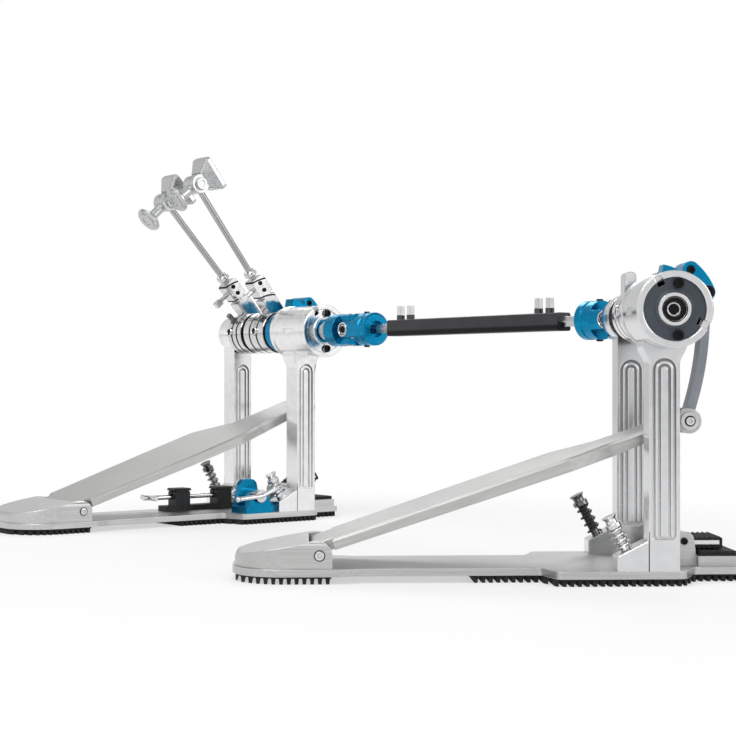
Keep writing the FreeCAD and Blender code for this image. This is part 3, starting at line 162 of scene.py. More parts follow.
class BeaterFrame:
    """Turns places on an upright beater into places on the leaning one, measured from the axle."""

    def __init__(self, side):
        pedal = PEDAL["primary"]
        lean = BEATER_LEAN[side]
        self.across = pedal.across
        self.ahead = pedal.way(math.cos(lean), 0, math.sin(lean))
        self.up = pedal.way(-math.sin(lean), 0, math.cos(lean))
        self.root = pedal.at(0, BEATER_SIDE[side], AXLE_HEIGHT)

    def at(self, x, y, z):
        return self.root + self.ahead * (BEATER_OFFSET + x) + self.across * y + self.up * z


# Node helpers for the materials

BEVEL_SAMPLES = 4
EDGE_BEND = 0.8
PLAIN = (1, 1, 1)


class Shader:
    """A material with one Principled shader and short calls for the nodes that feed it."""

    def __init__(self, name, colour, metallic, roughness):
        self.material = bpy.data.materials.new(name)
        self.material.use_nodes = True
        self.tree = self.material.node_tree
        self.bsdf = next(n for n in self.tree.nodes if n.type == "BSDF_PRINCIPLED")
        self.bsdf.inputs["Base Color"].default_value = (*colour, 1)
        self.bsdf.inputs["Metallic"].default_value = metallic
        self.bsdf.inputs["Roughness"].default_value = roughness
        self.normal = None

    def feed(self, socket, value):
        """Joins a socket to another node's output, or sets its value."""
        if isinstance(value, bpy.types.NodeSocket):
            self.tree.links.new(value, socket)
        else:
            socket.default_value = value

    def node(self, kind, **inputs):
        made = self.tree.nodes.new(kind)
        for key, value in inputs.items():
            self.feed(made.inputs[key.replace("_", " ")], value)
        return made

    def operation(self, kind, name, *values):
        """A node that works on its inputs in order."""
        made = self.tree.nodes.new(kind)
        made.operation = name
        for socket, value in zip(made.inputs, values):
            self.feed(socket, value)
        return made

    def math(self, name, *values):
        return self.operation("ShaderNodeMath", name, *values).outputs[0]

    def dot(self, first, second):
        return self.operation("ShaderNodeVectorMath", "DOT_PRODUCT", first, second).outputs["Value"]

    def link(self, source, target):
        self.tree.links.new(source, self.bsdf.inputs[target])

    def place(self):
        return self.node("ShaderNodeTexCoord").outputs["Object"]

    def coords(self, scale, yaw=0.0, tilt=0.0):
        """Object coordinates turned along a pedal, then stretched."""
        turned = self.node("ShaderNodeMapping", Vector=self.place(), Rotation=(0, 0, -yaw))
        tilted = self.node("ShaderNodeMapping", Vector=turned.outputs["Vector"], Rotation=(0, tilt, 0))
        sized = self.node("ShaderNodeMapping", Vector=tilted.outputs["Vector"], Scale=scale)
        return sized.outputs["Vector"]

    def pedal_axes(self, pedal):
        """Place on the surface as x, y and z in a pedal's own frame."""
        turn = Matrix.Rotation(-pedal.yaw, 3, "Z")
        local = self.node("ShaderNodeMapping", Vector=self.place(), Rotation=(0, 0, -pedal.yaw),
                          Location=-(turn @ pedal.origin))
        return self.node("ShaderNodeSeparateXYZ", Vector=local.outputs["Vector"]).outputs

    def height_over(self, at, up):
        """Height on the surface above a place, along a direction."""
        return self.math("SUBTRACT", self.dot(self.place(), up), at.dot(up))

    def noise(self, vector, scale, detail=4.0):
        return self.node("ShaderNodeTexNoise", Vector=vector, Scale=scale, Detail=detail).outputs["Fac"]

    def spread(self, value, low, high, start=0.3, stop=0.7):
        made = self.node("ShaderNodeMapRange", Value=value)
        made.inputs["From Min"].default_value = start
        made.inputs["From Max"].default_value = stop
        made.inputs["To Min"].default_value = low
        made.inputs["To Max"].default_value = high
        return made.outputs["Result"]

    def mix(self, factor, first, second):
        made = self.tree.nodes.new("ShaderNodeMix")
        made.data_type = "RGBA"
        self.tree.links.new(factor, made.inputs["Factor"])
        for key, value in (("A", first), ("B", second)):
            socket = next(s for s in made.inputs if s.name == key and s.type == "RGBA")
            self.feed(socket, value if isinstance(value, bpy.types.NodeSocket) else (*value, 1))
        return next(s for s in made.outputs if s.type == "RGBA")

    def stained(self, tone, stain):
        """Tone that is darkened where a mask is 1. On the posts, hubs and sleeve this darkening is painted
        shade.
        """
        if stain is None:
            return tone
        mask, dark = stain
        return self.mix(mask(self), tone, dark)

    def soften(self, radius):
        """Rounds the shading of the edges and returns a mask that is bright along them."""
        bevel = self.node("ShaderNodeBevel", Radius=radius)
        bevel.samples = BEVEL_SAMPLES
        self.normal = bevel.outputs["Normal"]
        flat = self.node("ShaderNodeNewGeometry").outputs["Normal"]
        return self.spread(self.dot(self.normal, flat), 1.0, 0.0, EDGE_BEND, 1.0)

    def roughen(self, grain, roughness, change):
        """Lets the roughness follow a grain, between a change down and a change up."""
        low, high = change
        self.link(self.spread(grain, roughness + low, roughness + high), "Roughness")

    def bump(self, height, strength, distance):
        made = self.node("ShaderNodeBump", Height=height, Strength=strength, Distance=distance)
        if self.normal is not None:
            self.tree.links.new(self.normal, made.inputs["Normal"])
        self.normal = made.outputs["Normal"]

    def done(self):
        if self.normal is not None:
            self.link(self.normal, "Normal")
        return self.material


def shaded(colour, share):
    return tuple(min(1.0, c * share) for c in colour)


BRUSHED_EDGE = 0.0009
BRUSHED_EDGE_SHARE = 1.45
LINE_DETAIL = 6.0
LINE_RANGE = (0.35, 0.65)
LINE_SHADE = 0.82
LINE_ROUGH = (-0.06, 0.1)
LINE_BUMP = (0.12, 0.0002)
MARK_SCALE = 38.0
MARK_DETAIL = 5.0
MARK_RANGE = (0.4, 0.75)
MARK_SHADE = 0.85
MARK_SHARE = 0.4


def brushed(name, colour, roughness, yaw, tilt, stretch):
    """Satin aluminium with fine brush lines along a direction, bright worn edges and faint handling marks."""
    shader = Shader(name, colour, 1.0, roughness)
    edge = shader.soften(BRUSHED_EDGE)
    lines = shader.noise(shader.coords(stretch, yaw, tilt), 1.0, LINE_DETAIL)
    marks = shader.noise(shader.coords(PLAIN, yaw, tilt), MARK_SCALE, MARK_DETAIL)
    tone = shader.mix(shader.spread(lines, 0.0, 1.0, *LINE_RANGE), shaded(colour, LINE_SHADE), colour)
    cloud = shader.spread(marks, 0.0, MARK_SHARE, *MARK_RANGE)
    tone = shader.mix(cloud, tone, shaded(colour, MARK_SHADE))
    shader.link(shader.mix(edge, tone, shaded(colour, BRUSHED_EDGE_SHARE)), "Base Color")
    shader.roughen(lines, roughness, LINE_ROUGH)
    shader.bump(lines, *LINE_BUMP)
    return shader.done()


HAZE_SHADE = 0.9
HAZE_ROUGH = (0.75, 1.35)
WAVE_SCALE = 26.0
WAVE_DETAIL = 3.0
WAVE_STRETCH = (1, 1, 0.35)
WAVE_BUMP = (0.1, 0.0006)
CAST_GRAIN = 140.0


def polished(name, colour, roughness, edge_radius, grain=CAST_GRAIN, stain=None, edge_share=1.3):
    """Polished metal with soft edges, buffing haze and unevenness. A mask can darken part of it, which on the
    posts and hubs is painted shade.
    """
    shader = Shader(name, colour, 1.0, roughness)
    edge = shader.soften(edge_radius)
    haze = shader.noise(shader.coords(PLAIN), grain)
    wave = shader.noise(shader.coords(WAVE_STRETCH), WAVE_SCALE, WAVE_DETAIL)
    tone = shader.mix(shader.spread(haze, 0.0, 1.0), shaded(colour, HAZE_SHADE), colour)
    tone = shader.mix(edge, tone, shaded(colour, edge_share))
    shader.link(shader.stained(tone, stain), "Base Color")
    shader.link(shader.spread(haze, *(roughness * share for share in HAZE_ROUGH)), "Roughness")
    shader.bump(wave, *WAVE_BUMP)
    return shader.done()


ANODISED_METAL = 0.92
ANODISED_EDGE = 0.0008
ANODISED_EDGE_SHARE = 1.5
BLAST_SCALE = 1600.0
BLAST_DETAIL = 3.0
BLAST_ROUGH = (-0.05, 0.1)
BLAST_BUMP = (0.1, 0.0001)
CLOUD_SCALE = 45.0
CLOUD_SHADE = 0.78


def anodised(name, colour, roughness, stain=None):
    """Dyed anodised aluminium with a fine blasted grain, paler at worn edges. A mask can darken part of it,
    which on the sleeve is painted shade.
    """
    shader = Shader(name, colour, ANODISED_METAL, roughness)
    edge = shader.soften(ANODISED_EDGE)
    grain = shader.noise(shader.coords(PLAIN), BLAST_SCALE, BLAST_DETAIL)
    cloud = shader.noise(shader.coords(PLAIN), CLOUD_SCALE)
    tone = shader.mix(shader.spread(cloud, 0.0, 1.0), shaded(colour, CLOUD_SHADE), colour)
    tone = shader.mix(edge, tone, shaded(colour, ANODISED_EDGE_SHARE))
    shader.link(shader.stained(tone, stain), "Base Color")
    shader.roughen(grain, roughness, BLAST_ROUGH)
    shader.bump(grain, *BLAST_BUMP)
    return shader.done()


MOULDED_EDGE = 0.0005
MOULDED_DEPTH = 0.0003
MOULDED_ROUGH = (-0.1, 0.08)
DUST_SCALE = 60.0
DUST_DETAIL = 5.0
DUST_RANGE = (0.45, 0.8)
DUST_SHARE = 1.6
DUST_LIFT = 0.012


def moulded(name, colour, roughness, grain, strength):
    """Rubber or plastic with a moulded grain and dusty high spots."""
    shader = Shader(name, colour, 0.0, roughness)
    edge = shader.soften(MOULDED_EDGE)
    texture = shader.noise(shader.coords(PLAIN), grain)
    dust = shader.noise(shader.coords(PLAIN), DUST_SCALE, DUST_DETAIL)
    pale = tuple(min(1.0, c * DUST_SHARE + DUST_LIFT) for c in colour)
    tone = shader.mix(shader.spread(dust, 0.0, 1.0, *DUST_RANGE), colour, pale)
    shader.link(shader.mix(edge, tone, pale), "Base Color")
    shader.roughen(texture, roughness, MOULDED_ROUGH)
    shader.bump(texture, strength, MOULDED_DEPTH)
    return shader.done()


def groove_shade_mask(pedal, heel_share, toe_share):
    """Mask of painted shade in the grooves of a pedal's posts, most at the top, and of a painted shadow line
    along the seam at the posts' feet.
    """
    def mask(shader):
        x, y, z = shader.pedal_axes(pedal)
        side = shader.math("ABSOLUTE", y)
        along = shader.math("COMPARE", x, 0.0, GROOVE_HALF)
        deep = shader.math("COMPARE", side, POST_MIDDLE, POST_INSIDE)
        high = shader.math("COMPARE", z, GROOVE_MIDDLE, GROOVE_RISE)
        fade = shader.math("MULTIPLY", shader.spread(z, GROOVE_FOOT_SHARE, 1.0, *GROOVE_FADE),
                           shader.spread(x, heel_share, toe_share, -SIDE_BLEND, SIDE_BLEND))
        groove = shader.math("MULTIPLY", shader.math("MULTIPLY", along, deep),
                             shader.math("MULTIPLY", high, fade))
        foot = shader.math("MULTIPLY", shader.math("COMPARE", x, SEAM_AT, SEAM_HALF),
                           shader.math("LESS_THAN", z, SEAM_TOP))
        seam = shader.math("MULTIPLY", foot, shader.math("GREATER_THAN", side, POST_SKIN))
        return shader.math("MAXIMUM", groove, seam)
    return mask


def hub_gap_shade_mask(pedal):
    """Mask of painted shade in the grooves between a hub's rings and in the gaps between its stacked
    brackets.
    """
    def mask(shader):
        x, _, z = shader.pedal_axes(pedal)
        rise = shader.math("SUBTRACT", z, AXLE_HEIGHT)
        squares = shader.math("MULTIPLY_ADD", x, x, shader.math("MULTIPLY", rise, rise))
        radius = shader.math("SQRT", squares)
        dark = shader.math("LESS_THAN", radius, HUB_GROOVE_RADIUS)
        for at in BRACKET_GAPS:
            dark = shader.math("MAXIMUM", dark, shader.math("COMPARE", radius, at, BRACKET_GAP_HALF))
        return dark
    return mask


def left_mask(pedal):
    """Mask that is 1 on a pedal's left half."""
    def mask(shader):
        return shader.math("GREATER_THAN", shader.pedal_axes(pedal)["Y"], 0.0)
    return mask


def shaft_height(shader):
    """Height above the drive shaft's axis, along the key screws of its sleeve."""
    axis = axis_of("sleeve_turn")
    up = (UP - axis * UP.dot(axis)).normalized()
    return shader.height_over(place_of("sleeve_turn"), up)


def sleeve_underside_shade_mask(shader):
    """Mask that is 1 on the lower part of the sleeve, where painted shade darkens it."""
    return shader.spread(shaft_height(shader), 1.0, 0.0, *SLEEVE_UNDER)


def collar_mask(shader):
    """Mask that is 1 on the collars of the sleeve's key screws."""
    return shader.math("LESS_THAN", shaft_height(shader), SLEEVE_COLLAR_TOP)


# Colours and looks of the materials, per pedal where the photograph shows the two in different tones
BLUE = (0.003, 0.255, 0.485)
# One cast and one satin metal on both pedals, paler for the primary and darker for the secondary: this
# difference is painted light and shade
CAST_LIT_PER_PEDAL = {"primary": (0.92, 0.92, 0.925), "secondary": (0.73, 0.735, 0.745)}
STEEL = (0.74, 0.74, 0.75)
SATIN_LIT_PER_PEDAL = {"primary": (0.64, 0.64, 0.635), "secondary": (0.57, 0.57, 0.565)}
BOARD = (0.57, 0.565, 0.555)
DARK = (0.09, 0.09, 0.095)
WORN = (0.2, 0.2, 0.205)
# Black of oxide-finished steel, also used as painted shade on the hubs and under the sleeve
OXIDE_AND_PAINTED_SHADE = (0.018, 0.018, 0.02)
DARK_EDGE = 0.3
LEFT_SPRING = {"primary": WORN, "secondary": DARK}
LEFT_THREAD = {"primary": "rod_steel", "secondary": "dark_steel"}
# Heel and toe shares of the painted shade in each pedal's post grooves
GROOVE_SHADE_SHARES = {"primary": (0.25, 0.75), "secondary": (0.7, 0.75)}
STEEL_GRAIN = 220.0
FINE_GRAIN = 260.0
CAST_LOOK = {"roughness": 0.2, "edge_radius": 0.0014}
SPUR_LOOK = {"roughness": 0.14, "grain": STEEL_GRAIN}
MIRROR_LOOK = {"roughness": 0.12, "grain": STEEL_GRAIN, "edge_share": DARK_EDGE}
POLISHED = {
    "bright_steel": dict(MIRROR_LOOK, colour=STEEL, edge_radius=0.0006),
    "sleeve_screws": dict(MIRROR_LOOK, colour=STEEL, edge_radius=0.0006, stain=(collar_mask, DARK)),
    "dark_steel": dict(colour=DARK, roughness=0.3, edge_radius=0.0004, grain=STEEL_GRAIN),
    "worn_steel": dict(colour=WORN, roughness=0.22, edge_radius=0.0004, grain=240.0),
    "black_oxide": dict(colour=OXIDE_AND_PAINTED_SHADE, roughness=0.34, edge_radius=0.0003, grain=300.0),
    "rod_steel": dict(colour=(0.62, 0.625, 0.63), roughness=0.24, edge_radius=0.0006, grain=FINE_GRAIN),
    "beater_rod": dict(colour=(0.46, 0.46, 0.465), roughness=0.16, edge_radius=0.0004, grain=FINE_GRAIN),
    "beater_head": dict(colour=(0.6, 0.605, 0.61), roughness=0.28, edge_radius=0.0008, grain=160.0,
                        edge_share=0.7),
}
ANODISED = {
    "blue_anodised": dict(colour=BLUE, roughness=0.24),
    "slate": dict(colour=(0.09, 0.103, 0.122), roughness=0.42),
    "grey_link": dict(colour=(0.29, 0.315, 0.345), roughness=0.4),
    # The sleeve's lower part is darkened with painted shade
    "black_sleeve": dict(colour=(0.072, 0.073, 0.078), roughness=0.36, stain=(sleeve_underside_shade_mask, OXIDE_AND_PAINTED_SHADE)),
}
MOULDED = {
    "black_plastic": dict(colour=(0.012, 0.012, 0.013), roughness=0.5, grain=900.0, strength=0.2),
    "rubber": dict(colour=(0.008, 0.008, 0.008), roughness=0.82, grain=520.0, strength=0.35),
    "white_face": dict(colour=(0.78, 0.78, 0.77), roughness=0.45, grain=700.0, strength=0.12),
}


def pedal_materials(pedal):
    """Materials whose tone or marks follow one pedal."""
    name = pedal.name
    groove_shade = groove_shade_mask(pedal, *GROOVE_SHADE_SHARES[name])
    left = left_mask(pedal)
    finishes = {
        "cast_silver_": dict(CAST_LOOK, colour=CAST_LIT_PER_PEDAL[name]),
        # Painted shade in the posts' grooves and along their foot seam
        "post_": dict(CAST_LOOK, colour=CAST_LIT_PER_PEDAL[name], stain=(groove_shade, DARK)),
        "spur_": dict(SPUR_LOOK, colour=STEEL, edge_radius=0.0005, stain=(left, WORN)),
        "spring_": dict(SPUR_LOOK, colour=STEEL, edge_radius=0.0003, stain=(left, LEFT_SPRING[name])),
        # Painted shade in the hub's ring grooves and bracket gaps
        "hub_": dict(MIRROR_LOOK, colour=STEEL, edge_radius=0.0009, stain=(hub_gap_shade_mask(pedal), OXIDE_AND_PAINTED_SHADE)),
    }
    brushes = {
        "satin_silver_": dict(colour=SATIN_LIT_PER_PEDAL[name], roughness=0.34, tilt=0.0, stretch=(18, 900, 900)),
        "board_": dict(colour=BOARD, roughness=0.38, tilt=BOARD_TILT, stretch=(14, 1000, 600)),
    }
    made = {key + name: polished(key + name, **finish) for key, finish in finishes.items()}
    for key, finish in brushes.items():
        made[key + name] = brushed(key + name, yaw=pedal.yaw, **finish)
    return made


def make_materials():
    """Every slot's material. Some come once per pedal because their marks follow it."""
    made = {}
    for finish, table in ((polished, POLISHED), (anodised, ANODISED), (moulded, MOULDED)):
        for name, look in table.items():
            made[name] = finish(name, **look)
    for pedal in PEDAL.values():
        made.update(pedal_materials(pedal))
    return made


MATERIALS = make_materials()
SLOT_OF = {s["node"]: s["material_slot"] for s in frame["record"]["subparts"]}
OWN_MATERIAL = {"_footboard": "board_", "_post": "post_", "_spur_screws": "spur_", "_spur_springs": "spring_",
                "_beater_hub": "hub_", "satin_silver": "satin_silver_", "cast_silver": "cast_silver_"}
LOOSE_ENDINGS = ("beater_head", "beater_rod", "sleeve_screws")


def material_for(node):
    pedal = next((p for p in PEDALS if node.startswith(p)), "primary")
    for ending in LOOSE_ENDINGS:
        if node.endswith(ending):
            return MATERIALS[ending]
    for ending, own in OWN_MATERIAL.items():
        if node.endswith(ending) or SLOT_OF[node] == ending:
            return MATERIALS[own + pedal]
    return MATERIALS[SLOT_OF[node]]


def dress_solids():
    for name, solid in frame["nodes"].items():
        solid.data.materials.clear()
        solid.data.materials.append(material_for(name))


# Mesh helpers for the detail pieces

PIECE_SMOOTH = 30


def piece(name, mesh, material, body, smooth=PIECE_SMOOTH):
    """A finished mesh as a named piece that rides on a body."""
    made = bpy.data.objects.new(name, mesh)
    bpy.context.scene.collection.objects.link(made)
    mesh.materials.append(MATERIALS[material])
    for polygon in mesh.polygons:
        polygon.use_smooth = True
    mesh.set_sharp_from_angle(angle=math.radians(smooth))
    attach(made, body)
    return made


def aimed(at, axis):
    """Matrix that puts z along an axis at a place."""
    return Matrix.Translation(at) @ Vector(axis).to_track_quat("Z", "Y").to_matrix().to_4x4()


def finish_mesh(name, bm, matrix):
    bmesh.ops.recalc_face_normals(bm, faces=bm.faces)
    mesh = bpy.data.meshes.new(name)
    bm.to_mesh(mesh)
    bm.free()
    mesh.transform(matrix)
    return mesh


def ring_of(bm, radius, z, count):
    turns = [FULL_TURN * i / count for i in range(count)]
    return [bm.verts.new((radius * math.cos(t), radius * math.sin(t), z)) for t in turns]


def bridge(bm, first, second):
    count = len(first)
    for i in range(count):
        j = (i + 1) % count
        bm.faces.new((first[i], first[j], second[j], second[i]))


def stack(bm, loops):
    """Skin over a row of loops, closed at both ends."""
    for first, second in zip(loops, loops[1:]):
        bridge(bm, first, second)
    bm.faces.new(loops[0])
    bm.faces.new(loops[-1])


def hexagon_ring(bm, radius, z, count):
    """Points spread along a hexagon, as many as a round ring has."""
    points = []
    sixth = FULL_TURN / HEX
    for i in range(count):
        turn = FULL_TURN * i / count
        within = turn % sixth - sixth / 2
        reach = radius * math.cos(sixth / 2) / math.cos(within)
        points.append(bm.verts.new((reach * math.cos(turn), reach * math.sin(turn), z)))
    return points


SOCKET_COUNT = 36
RIM_SHARE = 0.28
RIM_ROUND = 0.3
SOCKET_DEPTH_SHARE = 0.75


def socket_head(name, at, axis, screw, material, body):
    """Screw head with rounded rim and a hexagon socket, standing on a place along an axis."""
    rim = screw.height * RIM_SHARE
    depth = screw.height * SOCKET_DEPTH_SHARE
    bm = bmesh.new()
    stack(bm, (
        ring_of(bm, screw.radius, 0.0, SOCKET_COUNT),
        ring_of(bm, screw.radius, screw.height - rim, SOCKET_COUNT),
        ring_of(bm, screw.radius - rim * RIM_ROUND, screw.height - rim * RIM_ROUND, SOCKET_COUNT),
        ring_of(bm, screw.radius - rim, screw.height, SOCKET_COUNT),
        hexagon_ring(bm, screw.socket, screw.height, SOCKET_COUNT),
        hexagon_ring(bm, screw.socket, screw.height - depth, SOCKET_COUNT),
    ))
    return piece(name, finish_mesh(name, bm, aimed(at, axis)), material, body)


STEPS_PER_PITCH = 8
THREAD_SMOOTH = 50


def threaded(name, at, axis, root, depth, length, pitch, material, body):
    """Closed rod with a helical V thread."""
    steps = max(2, round(length / pitch * STEPS_PER_PITCH))
    bm = bmesh.new()
    rings = []
    for i in range(steps + 1):
        z = length * i / steps
        fade = min(1.0, min(z, length - z) / pitch)
        ring = []
        for k in range(ROUND):
            share = (z / pitch - k / ROUND) % 1.0
            crest = 1.0 - abs(2.0 * share - 1.0)
            radius = root + depth * crest * fade
            turn = FULL_TURN * k / ROUND
            ring.append(bm.verts.new((radius * math.cos(turn), radius * math.sin(turn), z)))
        rings.append(ring)
    stack(bm, rings)
    return piece(name, finish_mesh(name, bm, aimed(at, axis)), material, body, THREAD_SMOOTH)


WASHER_EASE_SHARE = 0.25
PLATE_EASE_SHARE = 0.4


def washer(name, at, axis, ring, material, body):
    """Flat ring with eased edges."""
    ease = min(ring.height, ring.outer - ring.inner) * WASHER_EASE_SHARE
    profile = [
        (ring.inner, 0.0), (ring.outer - ease, 0.0),
        (ring.outer, ease), (ring.outer, ring.height - ease),
        (ring.outer - ease, ring.height), (ring.inner + ease, ring.height),
        (ring.inner, ring.height - ease),
    ]
    bm = bmesh.new()
    rings = [ring_of(bm, radius, z, ROUND) for radius, z in profile]
    for first, second in zip(rings, rings[1:] + rings[:1]):
        bridge(bm, first, second)
    return piece(name, finish_mesh(name, bm, aimed(at, axis)), material, body)


CORNER_STEPS = 6


def corner_loop(bm, half_width, half_height, corner, z):
    """Rectangle with round corners."""
    loop = []
    for quarter, (sx, sy) in enumerate(((1, 1), (-1, 1), (-1, -1), (1, -1))):
        for step in range(CORNER_STEPS + 1):
            turn = (quarter + step / CORNER_STEPS) * FULL_TURN / 4
            loop.append(bm.verts.new((sx * (half_width - corner) + corner * math.cos(turn),
                                      sy * (half_height - corner) + corner * math.sin(turn), z)))
    return loop


def disc_loop(bm, radius, z):
    """Round loop whose points lie in the same directions as a rounded rectangle's."""
    count = 4 * (CORNER_STEPS + 1)
    start = FULL_TURN / 8
    loop = []
    for quarter in range(4):
        for step in range(CORNER_STEPS + 1):
            turn = start + quarter * FULL_TURN / 4 + (step - CORNER_STEPS / 2) * FULL_TURN / count
            loop.append(bm.verts.new((radius * math.cos(turn), radius * math.sin(turn), z)))
    return loop


def rounded_plate(name, at, axis, up, half, corner, thickness, material, body):
    """Thin plate with round corners and an eased front edge."""
    ease = thickness * PLATE_EASE_SHARE
    width, height = half
    bm = bmesh.new()
    stack(bm, (
        corner_loop(bm, width, height, corner, 0.0),
        corner_loop(bm, width, height, corner, thickness - ease),
        corner_loop(bm, width - ease, height - ease, corner - ease, thickness),
    ))
    side = up.cross(axis)
    matrix = Matrix.Translation(at) @ Matrix((side, up, axis)).transposed().to_4x4()
    return piece(name, finish_mesh(name, bm, matrix), material, body)


# Details of each pedal

THREAD_PITCH = 0.0011
THREAD_DEPTH = 0.0003
SKIN = 0.00004


def spur_details(pedal):
    """Threads on the two spur screws, each in its screw's tone."""
    up = pedal.way(-math.sin(SPUR_TILT), 0, math.cos(SPUR_TILT))
    for label, side, material in (("left", 1, LEFT_THREAD[pedal.name]), ("right", -1, "bright_steel")):
        foot = pedal.at(SPUR_FOOT[0], side * POST_MIDDLE, SPUR_FOOT[1])
        start = foot + up * (SPUR_BLOCK_RISE + SPUR_RAISE[label])
        length = SPUR_LENGTH[label] - SPUR_BLOCK_RISE
        threaded(f"{pedal.name}_{label}_spur_thread", start, up, SPUR_RADIUS + SKIN, THREAD_DEPTH,
                 length, THREAD_PITCH, material, pedal.name + "_spurs")


PLATE_SCREW = Screw(0.0034, 0.0018, 0.0017)
PLATE_SCREW_STAND = 0.0012
BEARING_CAP = Ring(0.0083, 0.0107, 0.0008)
BEARING_CAP_SLOT = {"primary": "blue_anodised", "secondary": "bright_steel"}
BEARING_SEAL = Ring(0.0077, 0.0083, 0.0006)
AXLE_SHADE = Ring(0.0049, 0.0075, 0.0004)
AXLE_NUT = Ring(0.0034, 0.0047, 0.0012)
# Black disc as painted shade over the hex hole in the axle's end
AXLE_HOLE_SHADE = Screw(0.0034, 0.0005, 0.0026)


def housing_details(pedal):
    """Socket screws and bearing rings on the right end of the spring housing."""
    base = pedal.name + "_base"
    out = -pedal.across
    for i, angle in enumerate(PLATE_SCREW_ANGLES):
        at = pedal.round_axle(PLATE_SCREW_CIRCLE, angle, PLATE_STEP_FACE - PLATE_SCREW_STAND)
        socket_head(f"{pedal.name}_plate_screw_{i}", at, out, PLATE_SCREW, "black_oxide", base)
    centre = pedal.at(0, PLATE_FACE, AXLE_HEIGHT)
    cap = BEARING_CAP_SLOT[pedal.name]
    washer(pedal.name + "_bearing_cap", centre, out, BEARING_CAP, cap, base)
    washer(pedal.name + "_bearing_seal", centre, out, BEARING_SEAL, "black_oxide", base)


def axle_end_details(pedal):
    """Dark rim, bright ring and black socket disc in the secondary axle's end; rim and disc are painted
    shade.
    """
    rocker = pedal.name + "_rocker"
    out = -pedal.across
    rim = pedal.at(0, AXLE_END, AXLE_HEIGHT)
    floor = pedal.at(0, AXLE_RECESS_FLOOR, AXLE_HEIGHT)
    washer(pedal.name + "_axle_shade", rim, out, AXLE_SHADE, "black_oxide", rocker)
    washer(pedal.name + "_axle_nut", floor, out, AXLE_NUT, "bright_steel", rocker)
    socket_head(pedal.name + "_axle_socket", floor, out, AXLE_HOLE_SHADE, "black_oxide", rocker)


CAM_SCREW = Screw(0.0029, 0.0026, 0.0016)
CAM_SCREW_SINK = 0.002
LINK_SCREW = Screw(0.0044, 0.0016, 0.0021)
TOE_SHADE = Ring(0.0029, 0.0037, 0.0004)
TOE_HEAD = Screw(0.0029, 0.001, 0.0014)


def cam_details(pedal):
    """Black screws on the cam and at the link's upper pin, and the toe pin's bright head in a dark rim."""
    out = -pedal.across
    at = pedal.round_axle(CAM_PIVOT_RADIUS, CAM_SCREW_ANGLE, CAM_FACE + CAM_SCREW_SINK)
    rocker = pedal.name + "_rocker"
    socket_head(pedal.name + "_cam_screw", at, out, CAM_SCREW, "black_oxide", rocker)
    link = pedal.name + "_link"
    low = pedal.at(TOE_PIN[0], LINK_PIN_FACE, TOE_PIN[1])
    washer(pedal.name + "_toe_pin_shade", low, out, TOE_SHADE, "black_oxide", link)
    socket_head(pedal.name + "_toe_pin_head", low, out, TOE_HEAD, "bright_steel", link)
    top = place_of(pedal.name + "_link_swing") + pedal.across * LINK_PIN_FACE
    socket_head(pedal.name + "_link_screw", top, out, LINK_SCREW, "black_oxide", link)


PIN_END = {"jaw": Screw(0.0024, 0.0008, 0.0015), "heel": Screw(0.0031, 0.0008, 0.0014)}
PIN_PLACE = {"jaw": (JAW_PIN, JAW_PIN_HALF, "black_oxide"),
             "heel": (HINGE_PIN, HINGE_PIN_HALF, "bright_steel")}
# Black ring as painted shadow in the gap round the heel pin
HEEL_SHADE_RING = Ring(0.0033, 0.0038, 0.0003)


def pin_details(pedal):
    """Socketed ends of the jaw pin and the heel pin, with a painted shadow line round the heel pin."""
    base = pedal.name + "_base"
    for label, (place, half, material) in PIN_PLACE.items():
        for hand, side in (("left", 1), ("right", -1)):
            at = pedal.at(place[0], side * half, place[1])
            way = pedal.across * side
            socket_head(f"{pedal.name}_{label}_pin_end_{hand}", at, way, PIN_END[label], material, base)
            if label == "heel":
                washer(f"{pedal.name}_heel_pin_rim_{hand}", at, way, HEEL_SHADE_RING, "black_oxide", base)


HUB_RIM = Ring(0.0029, 0.0047, 0.0022)
HUB_SOCKET = Screw(0.0029, 0.0016, 0.0019)
HOLE_RIM = Ring(0.0028, 0.0034, 0.001)
HOLE_SOCKET = Screw(0.0028, 0.0007, 0.0022)
HUB_SINK = 0.0006
RIGHT_HUB_SCREWS = ((-0.005, 176, HUB_RIM, HUB_SOCKET),)
LEFT_HUB_SCREWS = ((0.039, 176, HUB_RIM, HUB_SOCKET), (0.0232, 143, HOLE_RIM, HOLE_SOCKET))
KEY_SCREWS = {"primary_rocker": (-0.014, 140, 0.0052), "beater_shaft": (0.0385, 140, 0.0095)}
KEY_FLANGE = (0.0042, 0.0012)
KEY_NECK = 0.0026
KEY_HALF = 0.0022
KEY_CORNER = 0.0006
KEY_HEAD = 0.0044
KEY_EASE = 0.0004


def hub_details(pedal, screws, body):
    """Bright set screws with dark sockets, sunk in the rings of a hub."""
    for y, angle, ring, screw in screws:
        at = pedal.round_axle(HUB_RADIUS - HUB_SINK, angle, y)
        way = pedal.outward(angle)
        washer(f"{body}_hub_rim_{angle}", at, way, ring, "bright_steel", body)
        socket_head(f"{body}_hub_socket_{angle}", at, way, screw, "black_oxide", body)


